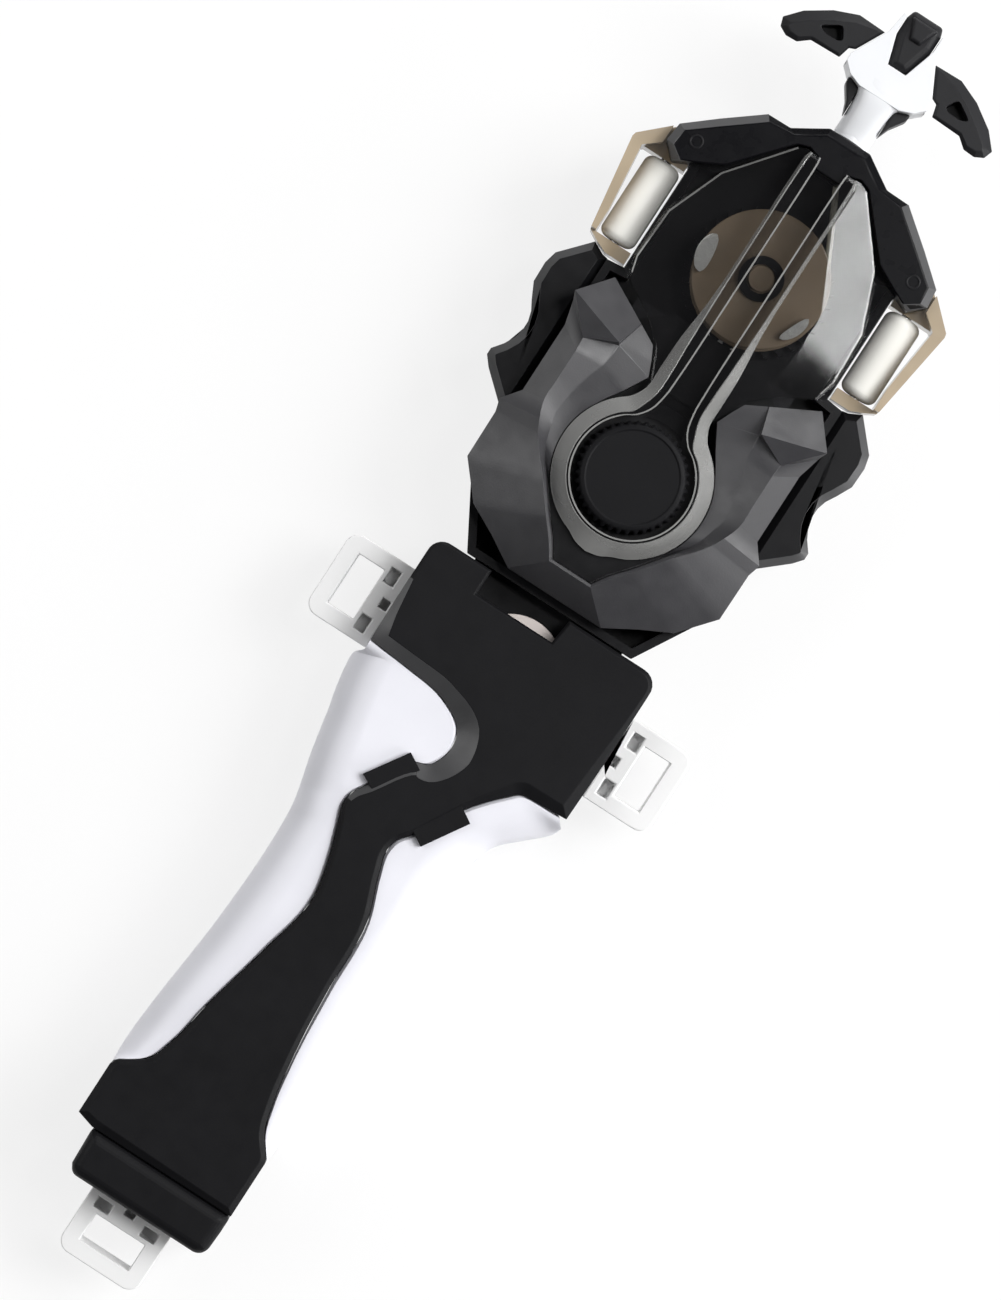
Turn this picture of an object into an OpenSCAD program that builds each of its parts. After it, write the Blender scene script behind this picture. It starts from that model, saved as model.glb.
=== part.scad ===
// Spinning top launcher: a pull-cord launcher locked in a two-tone hand grip.
// X runs across, Y runs along the object towards the pull handle, Z is up.
// The origin is on the launch axis, in the plane of the cup rim that it rests on.

/* [Launch cup] */
// Radius of the cup mouth that seats a top
cup_r = 19; // [17.5:0.5:20]
// Depth of the mouth bore
mouth_depth = 5; // [4:0.5:6]
// Wall of the cup
cup_wall = 2.5; // [1.5:0.25:3]
// Height of the case floor above the rim
cup_h = 14; // [13:0.5:16]
// Thickness of the cup roof that carries the lower bush
roof_t = 2.5; // [2:0.25:3]

/* [Case] */
// Thickness of the case floor
floor_t = 2; // [1.6:0.2:3]
// Thickness of the case walls
wall_t = 1.6; // [1.2:0.2:2]
// Height of the case walls above the floor
wall_h = 8; // [7:0.5:9]
// Half width of the case body between the wings
body_w = 25.5; // [25:0.1:26]
// Step in from the side of the case body to the waist at the rollers
waist_in = 3.5; // [3.2:0.1:3.7]
// Reach of a wing beyond the case body
wing_reach = 9.1; // [7:0.1:12]
// Distance from the launch axis to the front face
front_y = 52.4; // [50:0.2:55]
// Height of the cover ridge above the window
ridge_rise = 3; // [2:0.25:4]
// Thickness of the smoke window
window_t = 2; // [1.5:0.25:2.5]
// Height of the rails on the window
rail_h = 2.5; // [1.5:0.25:3]
// Distance from the midline to the near side of a rail
rail_in = 2.6; // [2:0.1:3]
// Width of a rail
rail_w = 2.6; // [2:0.1:3]

/* [Reel drive] */
// Distance from the launch axis to the reel axle
reel_y = 22.8; // [22:0.1:23.5]
// Radius of the reel flanges
reel_r = 12.7; // [12:0.1:13]
// Radius of the drum
drum_r = 9.5; // [8:0.1:10]
// Height of the drum between its flanges
drum_h = 7; // [6:0.25:8]
// Thickness of a reel flange
flange_t = 1; // [0.8:0.1:1.2]
// Radius of the reel axle
axle_r = 2; // [1.6:0.1:2.3]
// Teeth on the reel gear
reel_teeth = 33; // [33:6:45]
// Teeth on the chuck gear
chuck_teeth = 24; // [20:4:28]
// Thickness of the gears
gear_t = 3; // [2:0.25:3.5]
// Radius of the pull cord
cord_r = 0.6; // [0.4:0.05:0.7]

/* [Launch chuck] */
// Radius of the chuck spindle
spindle_r = 4; // [3.5:0.1:4.5]
// Radius of the centre plunger
plunger_r = 2.2; // [1.8:0.1:2.5]
// Radius of the chuck plate
chuck_r = 9; // [8:0.25:11]
// Thickness of the chuck plate
chuck_t = 2; // [1.5:0.25:2.5]
// Travel of the centre plunger
plunger_travel = 1.2; // [0.8:0.1:1.5]

/* [Selector] */
// Distance from the launch axis back to the selector knob
knob_y = 20.2; // [19.8:0.1:20.6]
// Radius of the knob over its knurl
knob_r = 10.3; // [9:0.1:10.8]
// Height of the knob
knob_h = 4.4; // [4:0.25:7]
// Outer radius of the knob collar
collar_r = 14.7; // [14:0.1:14.8]
// Radial width of the knob collar
collar_w = 3.4; // [3:0.1:3.6]
// Ridges on the knob rim
knurl_count = 40; // [24:4:60]
// Teeth on the selector pinion
pinion_teeth = 12; // [10:1:14]

/* [Side rollers] */
// How far a roller axis stands out past the body's side
roller_out = 0.6; // [0.5:0.1:0.9]
// Radius of a roller
roller_r = 3.6; // [3:0.1:3.7]
// Length of a roller
roller_len = 17.1; // [15:0.1:17.1]
// Radius of a roller axle
pin_r = 1; // [0.8:0.05:1.3]

/* [Pull handle] */
// Half span of the finger bar
bar_span = 22.6; // [20:0.2:26]
// Thickness of the finger bar
bar_t = 10; // [8:0.5:12]
// Thickness of the handle hub
hub_t = 11; // [9:0.5:12]
// Radius of the hub neck
neck_r = 3.6; // [3:0.1:4]
// Length of the hub neck in front of the case
neck_len = 9.6; // [8:0.2:12]

/* [Grip] */
// Thickness of the grip
grip_t = 28; // [26.5:0.5:32]
// Thickness of the side panels
panel_t = 25; // [22:0.5:26]
// Rounding of the side panels
panel_round = 8; // [4:0.5:10]
// Half width of the grip head
head_w = 24; // [22:0.2:25]
// Half width of the launcher tongue in the grip
tongue_w = 16; // [14:0.2:17]
// Height of the launcher tongue
tongue_t = 4.5; // [3:0.25:5]
// Depth of the tongue in the grip
tongue_len = 12; // [10:0.2:14]
// Radius of the lock button
lock_r = 9.6; // [8:0.1:10]
// Travel of the lock button
lock_travel = 1.4; // [1.2:0.1:1.6]

/* [Lanyard loops] */
// Length of a loop along its edge
loop_len = 17; // [15:0.25:19]
// Reach of a loop out of the grip
loop_reach = 13.6; // [12:0.2:16]
// Thickness of a loop
loop_t = 8; // [5:0.5:10]
// Width of the bars of a loop
loop_bar = 3.2; // [2.4:0.1:3.6]

/* [Hidden] */
$fn = 48;
// Running clearance on a radius
run_fit = 0.05;
// Clearance of a pressed or glued seat
seat_fit = 0.02;
// Gap between pieces that move past each other
move_gap = 0.4;
// Gap between fixed pieces that lie side by side
side_gap = 0.15;
// Overlap of a cutting tool past a face
cut = 1;

// Heights of the case, from the cup rim up
floor_top = cup_h + floor_t;
deck_z = floor_top + wall_h;
gear_z = floor_top + 0.6;
reel_z = gear_z + gear_t;
winding_z = reel_z + flange_t;
reel_top = winding_z + drum_h + flange_t;
window_z = reel_top + 1.4;
window_top = window_z + window_t;
rail_top = window_top + rail_h;
ridge_z = window_top + ridge_rise;
cord_z = winding_z + drum_h / 2;
edge_z = deck_z + 5;
cover_t = 2.2;
seat_z = window_z - 2;
seat_t = 1.5;
recess_z = seat_z + seat_t;
collar_top = rail_top - 0.5;

// Launch cup and chuck
chamber_r = cup_r - 1;
chamber_top = cup_h - roof_t;
chuck_top = chamber_top - 0.8;
chuck_z = chuck_top - chuck_t;
prong_len = 3.3;
prong_z = chuck_z - prong_len;
prong_w = 4;
prong_hook = 1.6;
bush_wall = 1.2;
plate_z = reel_z + 0.8;
plate_t = 1.6;
plate_back = 15;
plate_half_w = 17;
plate_front = 8.4;
post_r = 2;
plate_posts = [[14, 4], [-14, 4], [13, -12], [-13, -12]];

// Gear pitch from the distance between the axles
gear_module = 2 * reel_y / (reel_teeth + chuck_teeth);
pressure_angle = 20;
gear_backlash = 0.16;

// Selector
selector_at = [0, -knob_y];
shaft_r = 2.5;
pinion_pitch_r = gear_module * pinion_teeth / 2;
slider_w = 4;
slider_len = 30;
slider_travel = pinion_pitch_r * PI / 3;
seat_leg_r = 1.8;
seat_leg_ring = collar_r - 2.2;

// Rollers
roller_x = body_w + roller_out;
roller_z = deck_z - 2;
roller_y0 = 14.5;
roller_y1 = roller_y0 + roller_len;
roller_gap = 0.3;
pin_seat = 2.2;
roller_round = 1.6;
bracket_z = roller_z - roller_r - 1.4;
bracket_top = roller_z + roller_r + 2.4;

// Pull handle
handle_z = cord_z;
neck_y = front_y + 0.3;
hub_y = front_y + neck_len;
eyelet_r = 3.2;
eyelet_bore = cord_r + 0.3;

// Grip
grip_mid = cup_h;
grip_y = -48;
tongue_y = grip_y - tongue_len;
tongue_top = cup_h + tongue_t;
lock_at = [0, grip_y - 3.2 - lock_r];
lock_t = 3;
lock_z = tongue_top + 2.5;
lock_top = lock_z + lock_t;
latch_w = 6;
latch_t = 2;
tooth_h = 1;
loop_mid_z = grip_mid;

// Colours
black = [0.13, 0.13, 0.14];
charcoal = [0.28, 0.28, 0.3];
white = [0.9, 0.9, 0.92];
smoke = [0.4, 0.4, 0.4, 0.6];
brown = [0.55, 0.48, 0.4];
steel = [0.7, 0.7, 0.72];
brass = [0.75, 0.6, 0.3];
cream = [0.93, 0.9, 0.8];

// A half outline joined to its mirror image, as one loop that runs anticlockwise
function both(half) = concat(half, [for (i = [len(half) - 1:-1:0]) [-half[i][0], half[i][1]]]);
function flip(pts) = [for (i = [len(pts) - 1:-1:0]) [-pts[i][0], pts[i][1]]];
function moved(pts, v) = [for (p = pts) p + v];
function unit(v) = v / norm(v);
function normal(a, b) = unit([a[1] - b[1], b[0] - a[0]]);
// Each corner of an anticlockwise loop moved inwards along its mitre by d
function inset(pts, d) = [for (i = [0:len(pts) - 1])
    let (a = pts[(i + len(pts) - 1) % len(pts)], b = pts[i], c = pts[(i + 1) % len(pts)])
    let (m = normal(a, b) + normal(b, c))
    b + m * d / (m * m / 2)];
// Points along an arc
function arc(centre, r, a0, a1, steps) = [for (i = [0:steps])
    let (a = a0 + (a1 - a0) * i / steps) centre + r * [cos(a), sin(a)]];
// Row of point pairs eased to a curve: cubics whose slopes weigh the chords on either side by their lengths
function gap(e, i) = norm(e[i + 1][0] - e[i][0]) + norm(e[i + 1][1] - e[i][1]);
function chord(e, i) = (e[i + 1] - e[i]) / gap(e, i);
function edge_slope(e, i) = i == 0 ? chord(e, 0) : i == len(e) - 1 ? chord(e, i - 1)
    : (chord(e, i - 1) * gap(e, i) + chord(e, i) * gap(e, i - 1)) / (gap(e, i - 1) + gap(e, i));
function eased(e, steps) = concat(
    [for (i = [0:len(e) - 2], k = [0:steps - 1]) let (t = k / steps, s = 1 - t, h = gap(e, i))
        (e[i] * (1 + 2 * t) + edge_slope(e, i) * h * t) * s * s
            + (e[i + 1] * (1 + 2 * s) - edge_slope(e, i + 1) * h * s) * t * t],
    [e[len(e) - 1]]);
// Points along a curve through three points, by a quadratic that starts at a and ends at c
function bend(a, b, c, steps) = [for (i = [0:steps])
    let (t = i / steps) a * (1 - t) * (1 - t) + b * 2 * t * (1 - t) + c * t * t];

// Triangles between two neighbouring loops of m points, where loop k starts at k * m
function skin(k, m) = [for (j = [0:m - 1]) let (n = (j + 1) % m)
    each [[k * m + j, k * m + n, (k + 1) * m + n], [k * m + j, (k + 1) * m + n, (k + 1) * m + j]]];
// Solid through a row of loops; each loop runs clockwise seen from the far end
module loft(loops) {
    m = len(loops[0]);
    last = len(loops) - 1;
    polyhedron(
        points = [for (l = loops) each l],
        faces = concat(
            [[for (j = [m - 1:-1:0]) j]],
            [for (k = [0:last - 1]) each skin(k, m)],
            [[for (j = [0:m - 1]) last * m + j]]),
        convexity = 6);
}
function lifted(pts, z) = [for (p = pts) [p[0], p[1], z]];
function backwards(pts) = [for (i = [len(pts) - 1:-1:0]) pts[i]];
// Upright prism of an anticlockwise outline, with its top and bottom edges chamfered
module bevelled(pts, z0, z1, top, bottom = 0) {
    low = bottom > 0 ? [lifted(inset(pts, bottom), z0), lifted(pts, z0 + bottom)] : [lifted(pts, z0)];
    high = top > 0 ? [lifted(pts, z1 - top), lifted(inset(pts, top), z1)] : [lifted(pts, z1)];
    loft([for (l = concat(low, high)) backwards(l)]);
}
module prism(pts, z0, z1) {
    translate([0, 0, z0]) linear_extrude(z1 - z0) polygon(pts);
}
module disc(at, r, z0, z1) {
    translate([at[0], at[1], z0]) cylinder(r = r, h = z1 - z0);
}
// Round bar along Y from y0 to y1
module bar_y(x, z, r, y0, y1) {
    translate([x, y1, z]) rotate([90, 0, 0]) cylinder(r = r, h = y1 - y0);
}
module box(x0, x1, y0, y1, z0, z1) {
    translate([x0, y0, z0]) cube([x1 - x0, y1 - y0, z1 - z0]);
}
// Round tube of s sides along a path that is nowhere upright
module tube(path, r, s) {
    last = len(path) - 1;
    loft([for (i = [0:last])
        let (t = unit(path[min(i + 1, last)] - path[max(i - 1, 0)]))
        let (n = unit(cross(t, [0, 0, 1])), b = cross(n, t))
        [for (j = [0:s - 1]) path[i] + r * (cos(360 * j / s) * n + sin(360 * j / s) * b)]]);
}
// Coil spring on an upright axis
module coil_spring(at, r, wire_r, z0, z1, turns) {
    steps = turns * 12;
    rise = (z1 - z0 - 2 * wire_r) / steps;
    tube([for (i = [0:steps])
        [at[0] + r * cos(30 * i), at[1] + r * sin(30 * i), z0 + wire_r + rise * i]], wire_r, 6);
}
// Involute gear outline: each flank is the curve that a line unwound from the base circle draws
function roll(base, r) = sqrt(max(r * r / (base * base) - 1, 0)) * 180 / PI;
function involute(base, r) = roll(base, r) - atan(roll(base, r) * PI / 180);
function flank(n, r) = let (pitch = gear_module * n / 2, base = pitch * cos(pressure_angle))
    90 / n - gear_backlash / pitch * 45 / PI + involute(base, pitch) - involute(base, r);
function gear_outline(n, start) =
    let (pitch = gear_module * n / 2, root = pitch - 1.2 * gear_module, tip = pitch + 0.95 * gear_module)
    let (base = max(pitch * cos(pressure_angle), root + 0.05 * gear_module))
    let (rows = [for (k = [0:3]) base + (tip - base) * k / 3])
    [for (i = [0:n - 1]) each concat(
        [let (a = start + 360 * i / n - flank(n, base)) root * [cos(a), sin(a)]],
        [for (r = rows) let (a = start + 360 * i / n - flank(n, r)) r * [cos(a), sin(a)]],
        [for (k = [3:-1:0]) let (r = rows[k], a = start + 360 * i / n + flank(n, r)) r * [cos(a), sin(a)]],
        [let (a = start + 360 * i / n + flank(n, base)) root * [cos(a), sin(a)]])];

// Outlines of the launcher, right half, each from the back to the front
wing_w = body_w + wing_reach;
waist_w = body_w - waist_in;
base_half = [[17.8, grip_y + 0.4], [body_w - 1, -36], [body_w, -24], [body_w, 11], [waist_w, 11.4],
    [waist_w, 33.2], [waist_w + 5.4, 38], [15, front_y - 4.2], [10.4, front_y - 4.1], [4.3, front_y - 0.4]];
// Rim of the window opening in the bezel and the cover
opening_half = [[6.8, -4], [7.1, -3], [9.6, 2], [14.1, 6], [waist_w - 2, 9.3], [waist_w + side_gap, 10.6],
    [waist_w + side_gap, 33.4], [16.5, 36.2], [7.5, 46.5], [5.4, 47.2], [3.2, 46.5], [2.6, 44.3]];
bezel_half = [[waist_w + side_gap, 33.4], [waist_w + 3.2, 32], [waist_w + 6, 34.5], [waist_w + 5.6, 38.3],
    [15, front_y - 3.9], [10.4, front_y - 3.8], [4.3, front_y]];
// Wing, with its waist scooped by a curve
wing_right = concat(
    [[body_w, -20.6], [body_w + 1.8, -22], [wing_w - 1.6, -17], [wing_w - 0.2, -15.3]],
    bend([wing_w - 0.2, -14], [wing_w - 5.6, -8], [wing_w - 1.6, -2.5], 6),
    [[wing_w - 0.1, 0.5], [wing_w, 4.5], [wing_w - 0.6, 7], [body_w + 3.5, 12.6], [body_w + 1.1, 11.4],
        [body_w, 11.2]]);
wing_z = cup_h + 0.5;
wing_chamfer = 1.4;
wing_under = 0.6;

// Fixings of the case, and the slot in the tongue for the latch's tooth
case_screw_at = [[19.5, -32], [-19.5, -32], [18.5, 37], [-18.5, 37]];
screw_r = 0.9;
screw_head_r = 2.2;
screw_head_t = 1;
screw_slot = 0.3;
tooth_slot = 3;
tooth_y = tongue_y + 2.4;
slider_front = -knob_y - pinion_pitch_r;
slider_back = slider_front - slider_w;
guide_half = slider_len / 2 + slider_travel;
guide_y = slider_back - roller_gap;
guide_t = 1.2;
module launcher_base() {
    outline = both(base_half);
    color(black) difference() {
        union() {
            difference() {
                prism(outline, cup_h, deck_z);
                prism(inset(outline, wall_t), floor_top, deck_z + cut);
            }
            box(-tongue_w, tongue_w, tongue_y, grip_y + wall_t, cup_h, tongue_top);
            for (p = case_screw_at) disc(p, post_r + 0.4, floor_top, deck_z);
            for (p = plate_posts) disc(p, post_r, floor_top, plate_z);
            box(-guide_half, guide_half, guide_y - guide_t, guide_y, floor_top, gear_z + gear_t);
        }
        disc([0, 0], spindle_r + bush_wall + seat_fit, 0, floor_top + cut);
        for (p = case_screw_at) disc(p, screw_r + run_fit, cup_h - cut, deck_z - wall_t);
        bar_y(0, cord_z, eyelet_r + seat_fit, front_y - 8, front_y + cut);
        box(lock_at[0] - tooth_slot, lock_at[0] + tooth_slot, tooth_y, tooth_y + 2 * tooth_slot,
            cup_h - cut, cup_h + tooth_h + move_gap);
    }
}

// Cup wall under the case floor, with a wide mouth below the chuck chamber
module launch_cup() {
    color(black) difference() {
        disc([0, 0], cup_r + cup_wall, 0, cup_h);
        disc([0, 0], cup_r, -cut, mouth_depth);
        disc([0, 0], chamber_r, -cut, cup_h + cut);
    }
}
// Plate that closes the cup and carries the lower bush
module cup_roof() {
    color(black) difference() {
        disc([0, 0], chamber_r - seat_fit, chamber_top, cup_h);
        disc([0, 0], spindle_r + bush_wall + seat_fit, 0, cup_h + cut);
    }
}

// Screw head with a slot across it
module slotted_head(p, z0) {
    difference() {
        disc(p, screw_head_r, z0, z0 + screw_head_t);
        box(p[0] - screw_head_r, p[0] + screw_head_r, p[1] - screw_slot, p[1] + screw_slot,
            z0 - screw_head_t, z0 + screw_head_t / 2);
    }
}
module case_screws() {
    color(steel) for (p = case_screw_at) {
        slotted_head(p, cup_h - screw_head_t);
        disc(p, screw_r, cup_h, deck_z - wall_t - move_gap);
    }
}

module right_wing() {
    color(black) bevelled(wing_right, wing_z, deck_z, wing_chamfer, wing_under);
}
module left_wing() {
    color(black) bevelled(flip(wing_right), wing_z, deck_z, wing_chamfer, wing_under);
}

// Stations of the cover from an arm end to the tail. Each has four points of its top side, from the outer
// edge over the ridge and the shoulder to the inner edge. The second one is the peak across the arm.
function collar_edge(a, z) = [each (selector_at + (collar_r + 0.3) * [cos(a), sin(a)]), z];
lip_z = recess_z + 2;
slope_z = (ridge_z + lip_z) / 2;
cover_half = [
    [[22.3, 9, edge_z + 1.6], [18, 6.8, edge_z + 2.4], [13.5, 4.6, window_top + 0.2], [9.9, 1.9, window_top]],
    [[27.2, 3.8, ridge_z - 1.4], [20.9, 2, ridge_z], [14.7, 0.2, ridge_z + 1.2],
        [8.6, -0.6, window_top - 0.2]],
    [[28, 2, edge_z + 0.6], [20.7, -2.8, ridge_z - 2.2], [14.5, -3.6, window_top],
        [7.4, -3.4, window_top - 0.4]],
    [[25.3, -3.5, edge_z], [21, -4.2, ridge_z], [15, -6, slope_z], [9.9, -7.8, lip_z]],
    [[25.3, -8, edge_z], [21, -8.6, ridge_z], [17, -10, slope_z], collar_edge(34, lip_z)],
    [[25.3, -13, edge_z], [21, -13, ridge_z], [17.8, -14, slope_z], collar_edge(18, lip_z)],
    [[25.3, -17.5, edge_z], [21, -17, ridge_z], [18.2, -17.8, slope_z], collar_edge(6, lip_z)],
    [[28, -21, edge_z], [19.8, -20.5, ridge_z], [17.6, -21, slope_z], collar_edge(-6, lip_z)],
    [[27.3, -23.5, edge_z], [18.5, -23, ridge_z], [16.4, -24.2, slope_z], collar_edge(-20, lip_z)],
    [[27.2, -33, edge_z], [13.6, -29, ridge_z], [12.4, -29.6, slope_z], collar_edge(-42, lip_z - 0.2)],
    [[21.7, -39.5, edge_z], [9.4, -34.4, ridge_z], [8.6, -33.8, slope_z], collar_edge(-58, lip_z - 0.4)],
    [[15.9, -42.5, edge_z], [6.6, -37.8, ridge_z], [5.4, -36.2, slope_z - 0.4], collar_edge(-72, lip_z - 0.7)],
    [[10, -46, edge_z], [4.6, -40.4, ridge_z], [3.6, -38.6, slope_z - 0.8], [2.8, -35.6, lip_z - 1]]];
function plan(p) = [p[0], p[1]];
// Closed cross-section of the cover shell at one station
function cover_section(s) =
    let (rim = plan(s[0]) + cover_t * unit(plan(s[1]) - plan(s[0])), under = s[0][2] - cover_t)
    [[each plan(s[0]), deck_z], [each rim, deck_z], [each rim, under], s[1] - [0, 0, cover_t],
        [each plan(s[3]), seat_z], s[3], s[2], s[1], s[0]];
function flipped(loop) = [for (p = loop) [-p[0], p[1], p[2]]];
module top_cover() {
    right = [for (s = cover_half) cover_section(s)];
    left = [for (i = [len(right) - 1:-1:0]) flipped(right[i])];
    color(charcoal) loft(concat(right, left));
}

// Plan of the bezel: the front frame outside the window opening
module front_bezel() {
    color(black) difference() {
        prism(both(bezel_half), deck_z, window_top);
        prism(both(opening_half), deck_z - cut, window_top + cut);
        bar_y(0, cord_z, eyelet_r + seat_fit, front_y - 15, front_y + cut);
        for (s = [-1, 1]) translate([s * 23.3, 37, window_top - 0.6]) difference() {
            cylinder(r = 1.5, h = cut);
            cylinder(r = 0.8, h = cut);
        }
    }
}

// Rail cross-section: near side upright, far side sloped out to foot
module rail(y0, y1, foot) {
    translate([0, y1, 0]) rotate([90, 0, 0]) linear_extrude(y1 - y0)
        polygon([[rail_in, window_top - 0.5], [rail_in + rail_w + foot, window_top - 0.5],
            [rail_in + rail_w, rail_top], [rail_in, rail_top]]);
}
rail_turn = 14;
module smoke_window() {
    pane = inset(both(opening_half), side_gap);
    inner = waist_w - wall_t;
    color(smoke) union() {
        prism(pane, window_z, window_top);
        for (s = [0, 1]) mirror([s, 0, 0]) {
            rail(-3.6, rail_turn, 1.4);
            rail(rail_turn, 44, 0.2);
            box(inner, waist_w, 12, 33, deck_z, window_z + 0.5);
        }
    }
}

module knob_collar() {
    shoulder = [[-12, -12], [12, -12], [6.5, -4.2], [-6.5, -4.2]];
    pointer = [[-4.6, -knob_y - collar_r + 1], [-2.4, -35.3], [2.4, -35.3], [4.6, -knob_y - collar_r + 1]];
    color(smoke) difference() {
        union() {
            disc(selector_at, collar_r, recess_z, collar_top);
            prism(shoulder, recess_z, collar_top);
            prism(pointer, recess_z, collar_top - 1);
        }
        disc(selector_at, collar_r - collar_w, recess_z - cut, collar_top + cut);
    }
}
// Floor of the knob recess on three legs
module knob_seat() {
    color(charcoal) difference() {
        union() {
            disc(selector_at, collar_r, seat_z, recess_z);
            for (a = [0, 180, 270])
                disc(selector_at + seat_leg_ring * [cos(a), sin(a)], seat_leg_r, floor_top, seat_z);
        }
        disc(selector_at, shaft_r + run_fit, seat_z - cut, recess_z + cut);
    }
}
knob_z = recess_z + move_gap;
knob_top = knob_z + knob_h;
module selector_knob() {
    rim = [for (i = [0:2 * knurl_count - 1])
        let (a = 180 * i / knurl_count) (knob_r - (i % 2 == 0 ? 0 : 0.45)) * [cos(a), sin(a)]];
    color(black) translate([0, -knob_y, 0]) difference() {
        union() {
            prism(rim, knob_z, knob_top - 0.6);
            disc([0, 0], knob_r - 0.8, knob_z, knob_top);
        }
        disc([0, 0], shaft_r + seat_fit, knob_z - cut, knob_z + knob_h / 2);
    }
}
module selector_shaft() {
    color(steel) translate([0, -knob_y, 0]) union() {
        disc([0, 0], shaft_r, floor_top + roller_gap, knob_z + knob_h / 2);
        prism(gear_outline(pinion_teeth, 270), gear_z, gear_z + gear_t);
        disc([0, 0], shaft_r + 0.5, plate_z, plate_z + plate_t);
    }
}
rack_pitch = PI * gear_module;
rack_count = 4;
rack_tip = 0.7 * gear_module;
rack_root = 1.25 * gear_module;
module direction_slider() {
    half = rack_pitch / 4 - gear_backlash / 4;
    slope = tan(pressure_angle);
    root_y = slider_front - rack_root;
    tip_y = slider_front + rack_tip;
    teeth = [for (k = [rack_count - 1:-1:-rack_count]) let (x = (k + 0.5) * rack_pitch)
        each [[x + half + rack_root * slope, root_y], [x + half - rack_tip * slope, tip_y],
            [x - half + rack_tip * slope, tip_y], [x - half - rack_root * slope, root_y]]];
    bar = [[-slider_len / 2, root_y], [-slider_len / 2, slider_back],
        [slider_len / 2, slider_back], [slider_len / 2, root_y]];
    color(white) prism(concat(bar, teeth), floor_top + roller_gap, gear_z + gear_t);
}
// Leaf that clips behind the bearing plate and bears on the selector shaft
module detent_spring() {
    leaf = -knob_y + shaft_r + 0.5 + roller_gap;
    back = -plate_back - side_gap;
    color(steel) prism([[-7, back], [-7, leaf], [7, leaf], [7, back], [6.4, back], [6.4, leaf + 0.5],
        [-6.4, leaf + 0.5], [-6.4, back]], plate_z, plate_z + plate_t);
}

// Bracket round a roller: an outer strip and two arms that carry the axle
strip_in = roller_x + roller_r + roller_gap;
strip_out = roller_x + 4.95;
tip_out = roller_x + 7.6;
arm_in = waist_w + move_gap;
back_y = roller_y0 - roller_gap;
ahead_y = roller_y1 + roller_gap;
bracket_strip = [[strip_in, back_y], [strip_out, back_y], [tip_out, roller_y1 + 0.4],
    [tip_out - 0.2, roller_y1 + 1.2], [waist_w + 6.4, 37.6], [waist_w + 6.4, roller_y1 + 2.4],
    [tip_out - 2.3, roller_y1], [strip_in, roller_y0 + 4]];
bracket_back = [[arm_in, 11.8], [body_w + 1, 11.8], [strip_out - 1.85, 13], [strip_out - 0.05, 14],
    [strip_out, back_y], [arm_in, back_y]];
bracket_front = [[arm_in, ahead_y], [tip_out - 0.1, ahead_y], [tip_out - 0.2, roller_y1 + 1.2],
    [waist_w + 6, 38], [waist_w + 5.6, 37.9], [arm_in, 33.3]];
module right_bracket() {
    arm_top = deck_z - side_gap;
    color(brown) difference() {
        union() {
            prism(bracket_strip, bracket_z, bracket_top);
            prism(bracket_back, bracket_z, arm_top);
            prism(bracket_front, bracket_z, arm_top);
        }
        bar_y(roller_x, roller_z, pin_r + seat_fit, back_y - pin_seat, ahead_y + pin_seat);
    }
}
module left_bracket() {
    mirror([1, 0, 0]) right_bracket();
}
module roller_axles() {
    color(steel) for (s = [-1, 1])
        bar_y(s * roller_x, roller_z, pin_r, back_y - pin_seat, ahead_y + pin_seat);
}
// Drum shape turned round its bore, with rounded ends
module roller(x) {
    bore = pin_r + run_fit;
    end = roller_r - roller_round;
    profile = concat([[bore, 0]], arc([end, roller_round], roller_round, -90, 0, 6),
        arc([end, roller_len - roller_round], roller_round, 0, 90, 6), [[bore, roller_len]]);
    color(white) translate([x, roller_y1, roller_z]) rotate([90, 0, 0]) rotate_extrude() polygon(profile);
}
module right_roller() {
    roller(roller_x);
}
module left_roller() {
    roller(-roller_x);
}

// Reel on its axle
reel_at = [0, reel_y];
drum_wall = 0.8;
hub_h = 1.6;
module reel_axle() {
    color(steel) union() {
        disc(reel_at, axle_r, floor_top, reel_top + 0.6);
        disc(reel_at, axle_r + 1.6, floor_top, floor_top + roller_gap);
    }
}
module reel_gear() {
    color(white) difference() {
        translate([0, reel_y, 0]) prism(gear_outline(reel_teeth, 270 + 180 / reel_teeth), gear_z, reel_z);
        disc(reel_at, axle_r + run_fit, gear_z - cut, reel_z + cut);
    }
}
module cord_reel() {
    bore = axle_r + run_fit;
    inner = drum_r - drum_wall;
    top_in = reel_top - flange_t;
    color(brown) translate([0, reel_y, 0]) rotate_extrude()
        polygon([[inner, reel_z], [reel_r, reel_z], [reel_r, winding_z], [drum_r, winding_z],
            [drum_r, top_in], [reel_r, top_in], [reel_r, reel_top], [bore, reel_top], [bore, top_in - hub_h],
            [bore + 1.4, top_in - hub_h], [bore + 1.4, top_in], [inner, top_in]]);
}
module reel_ring() {
    color(black) difference() {
        disc(reel_at, axle_r + 2.2, reel_top, reel_top + 0.7);
        disc(reel_at, axle_r + 0.7, reel_top - cut, reel_top + 2 * cut);
    }
}
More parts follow.
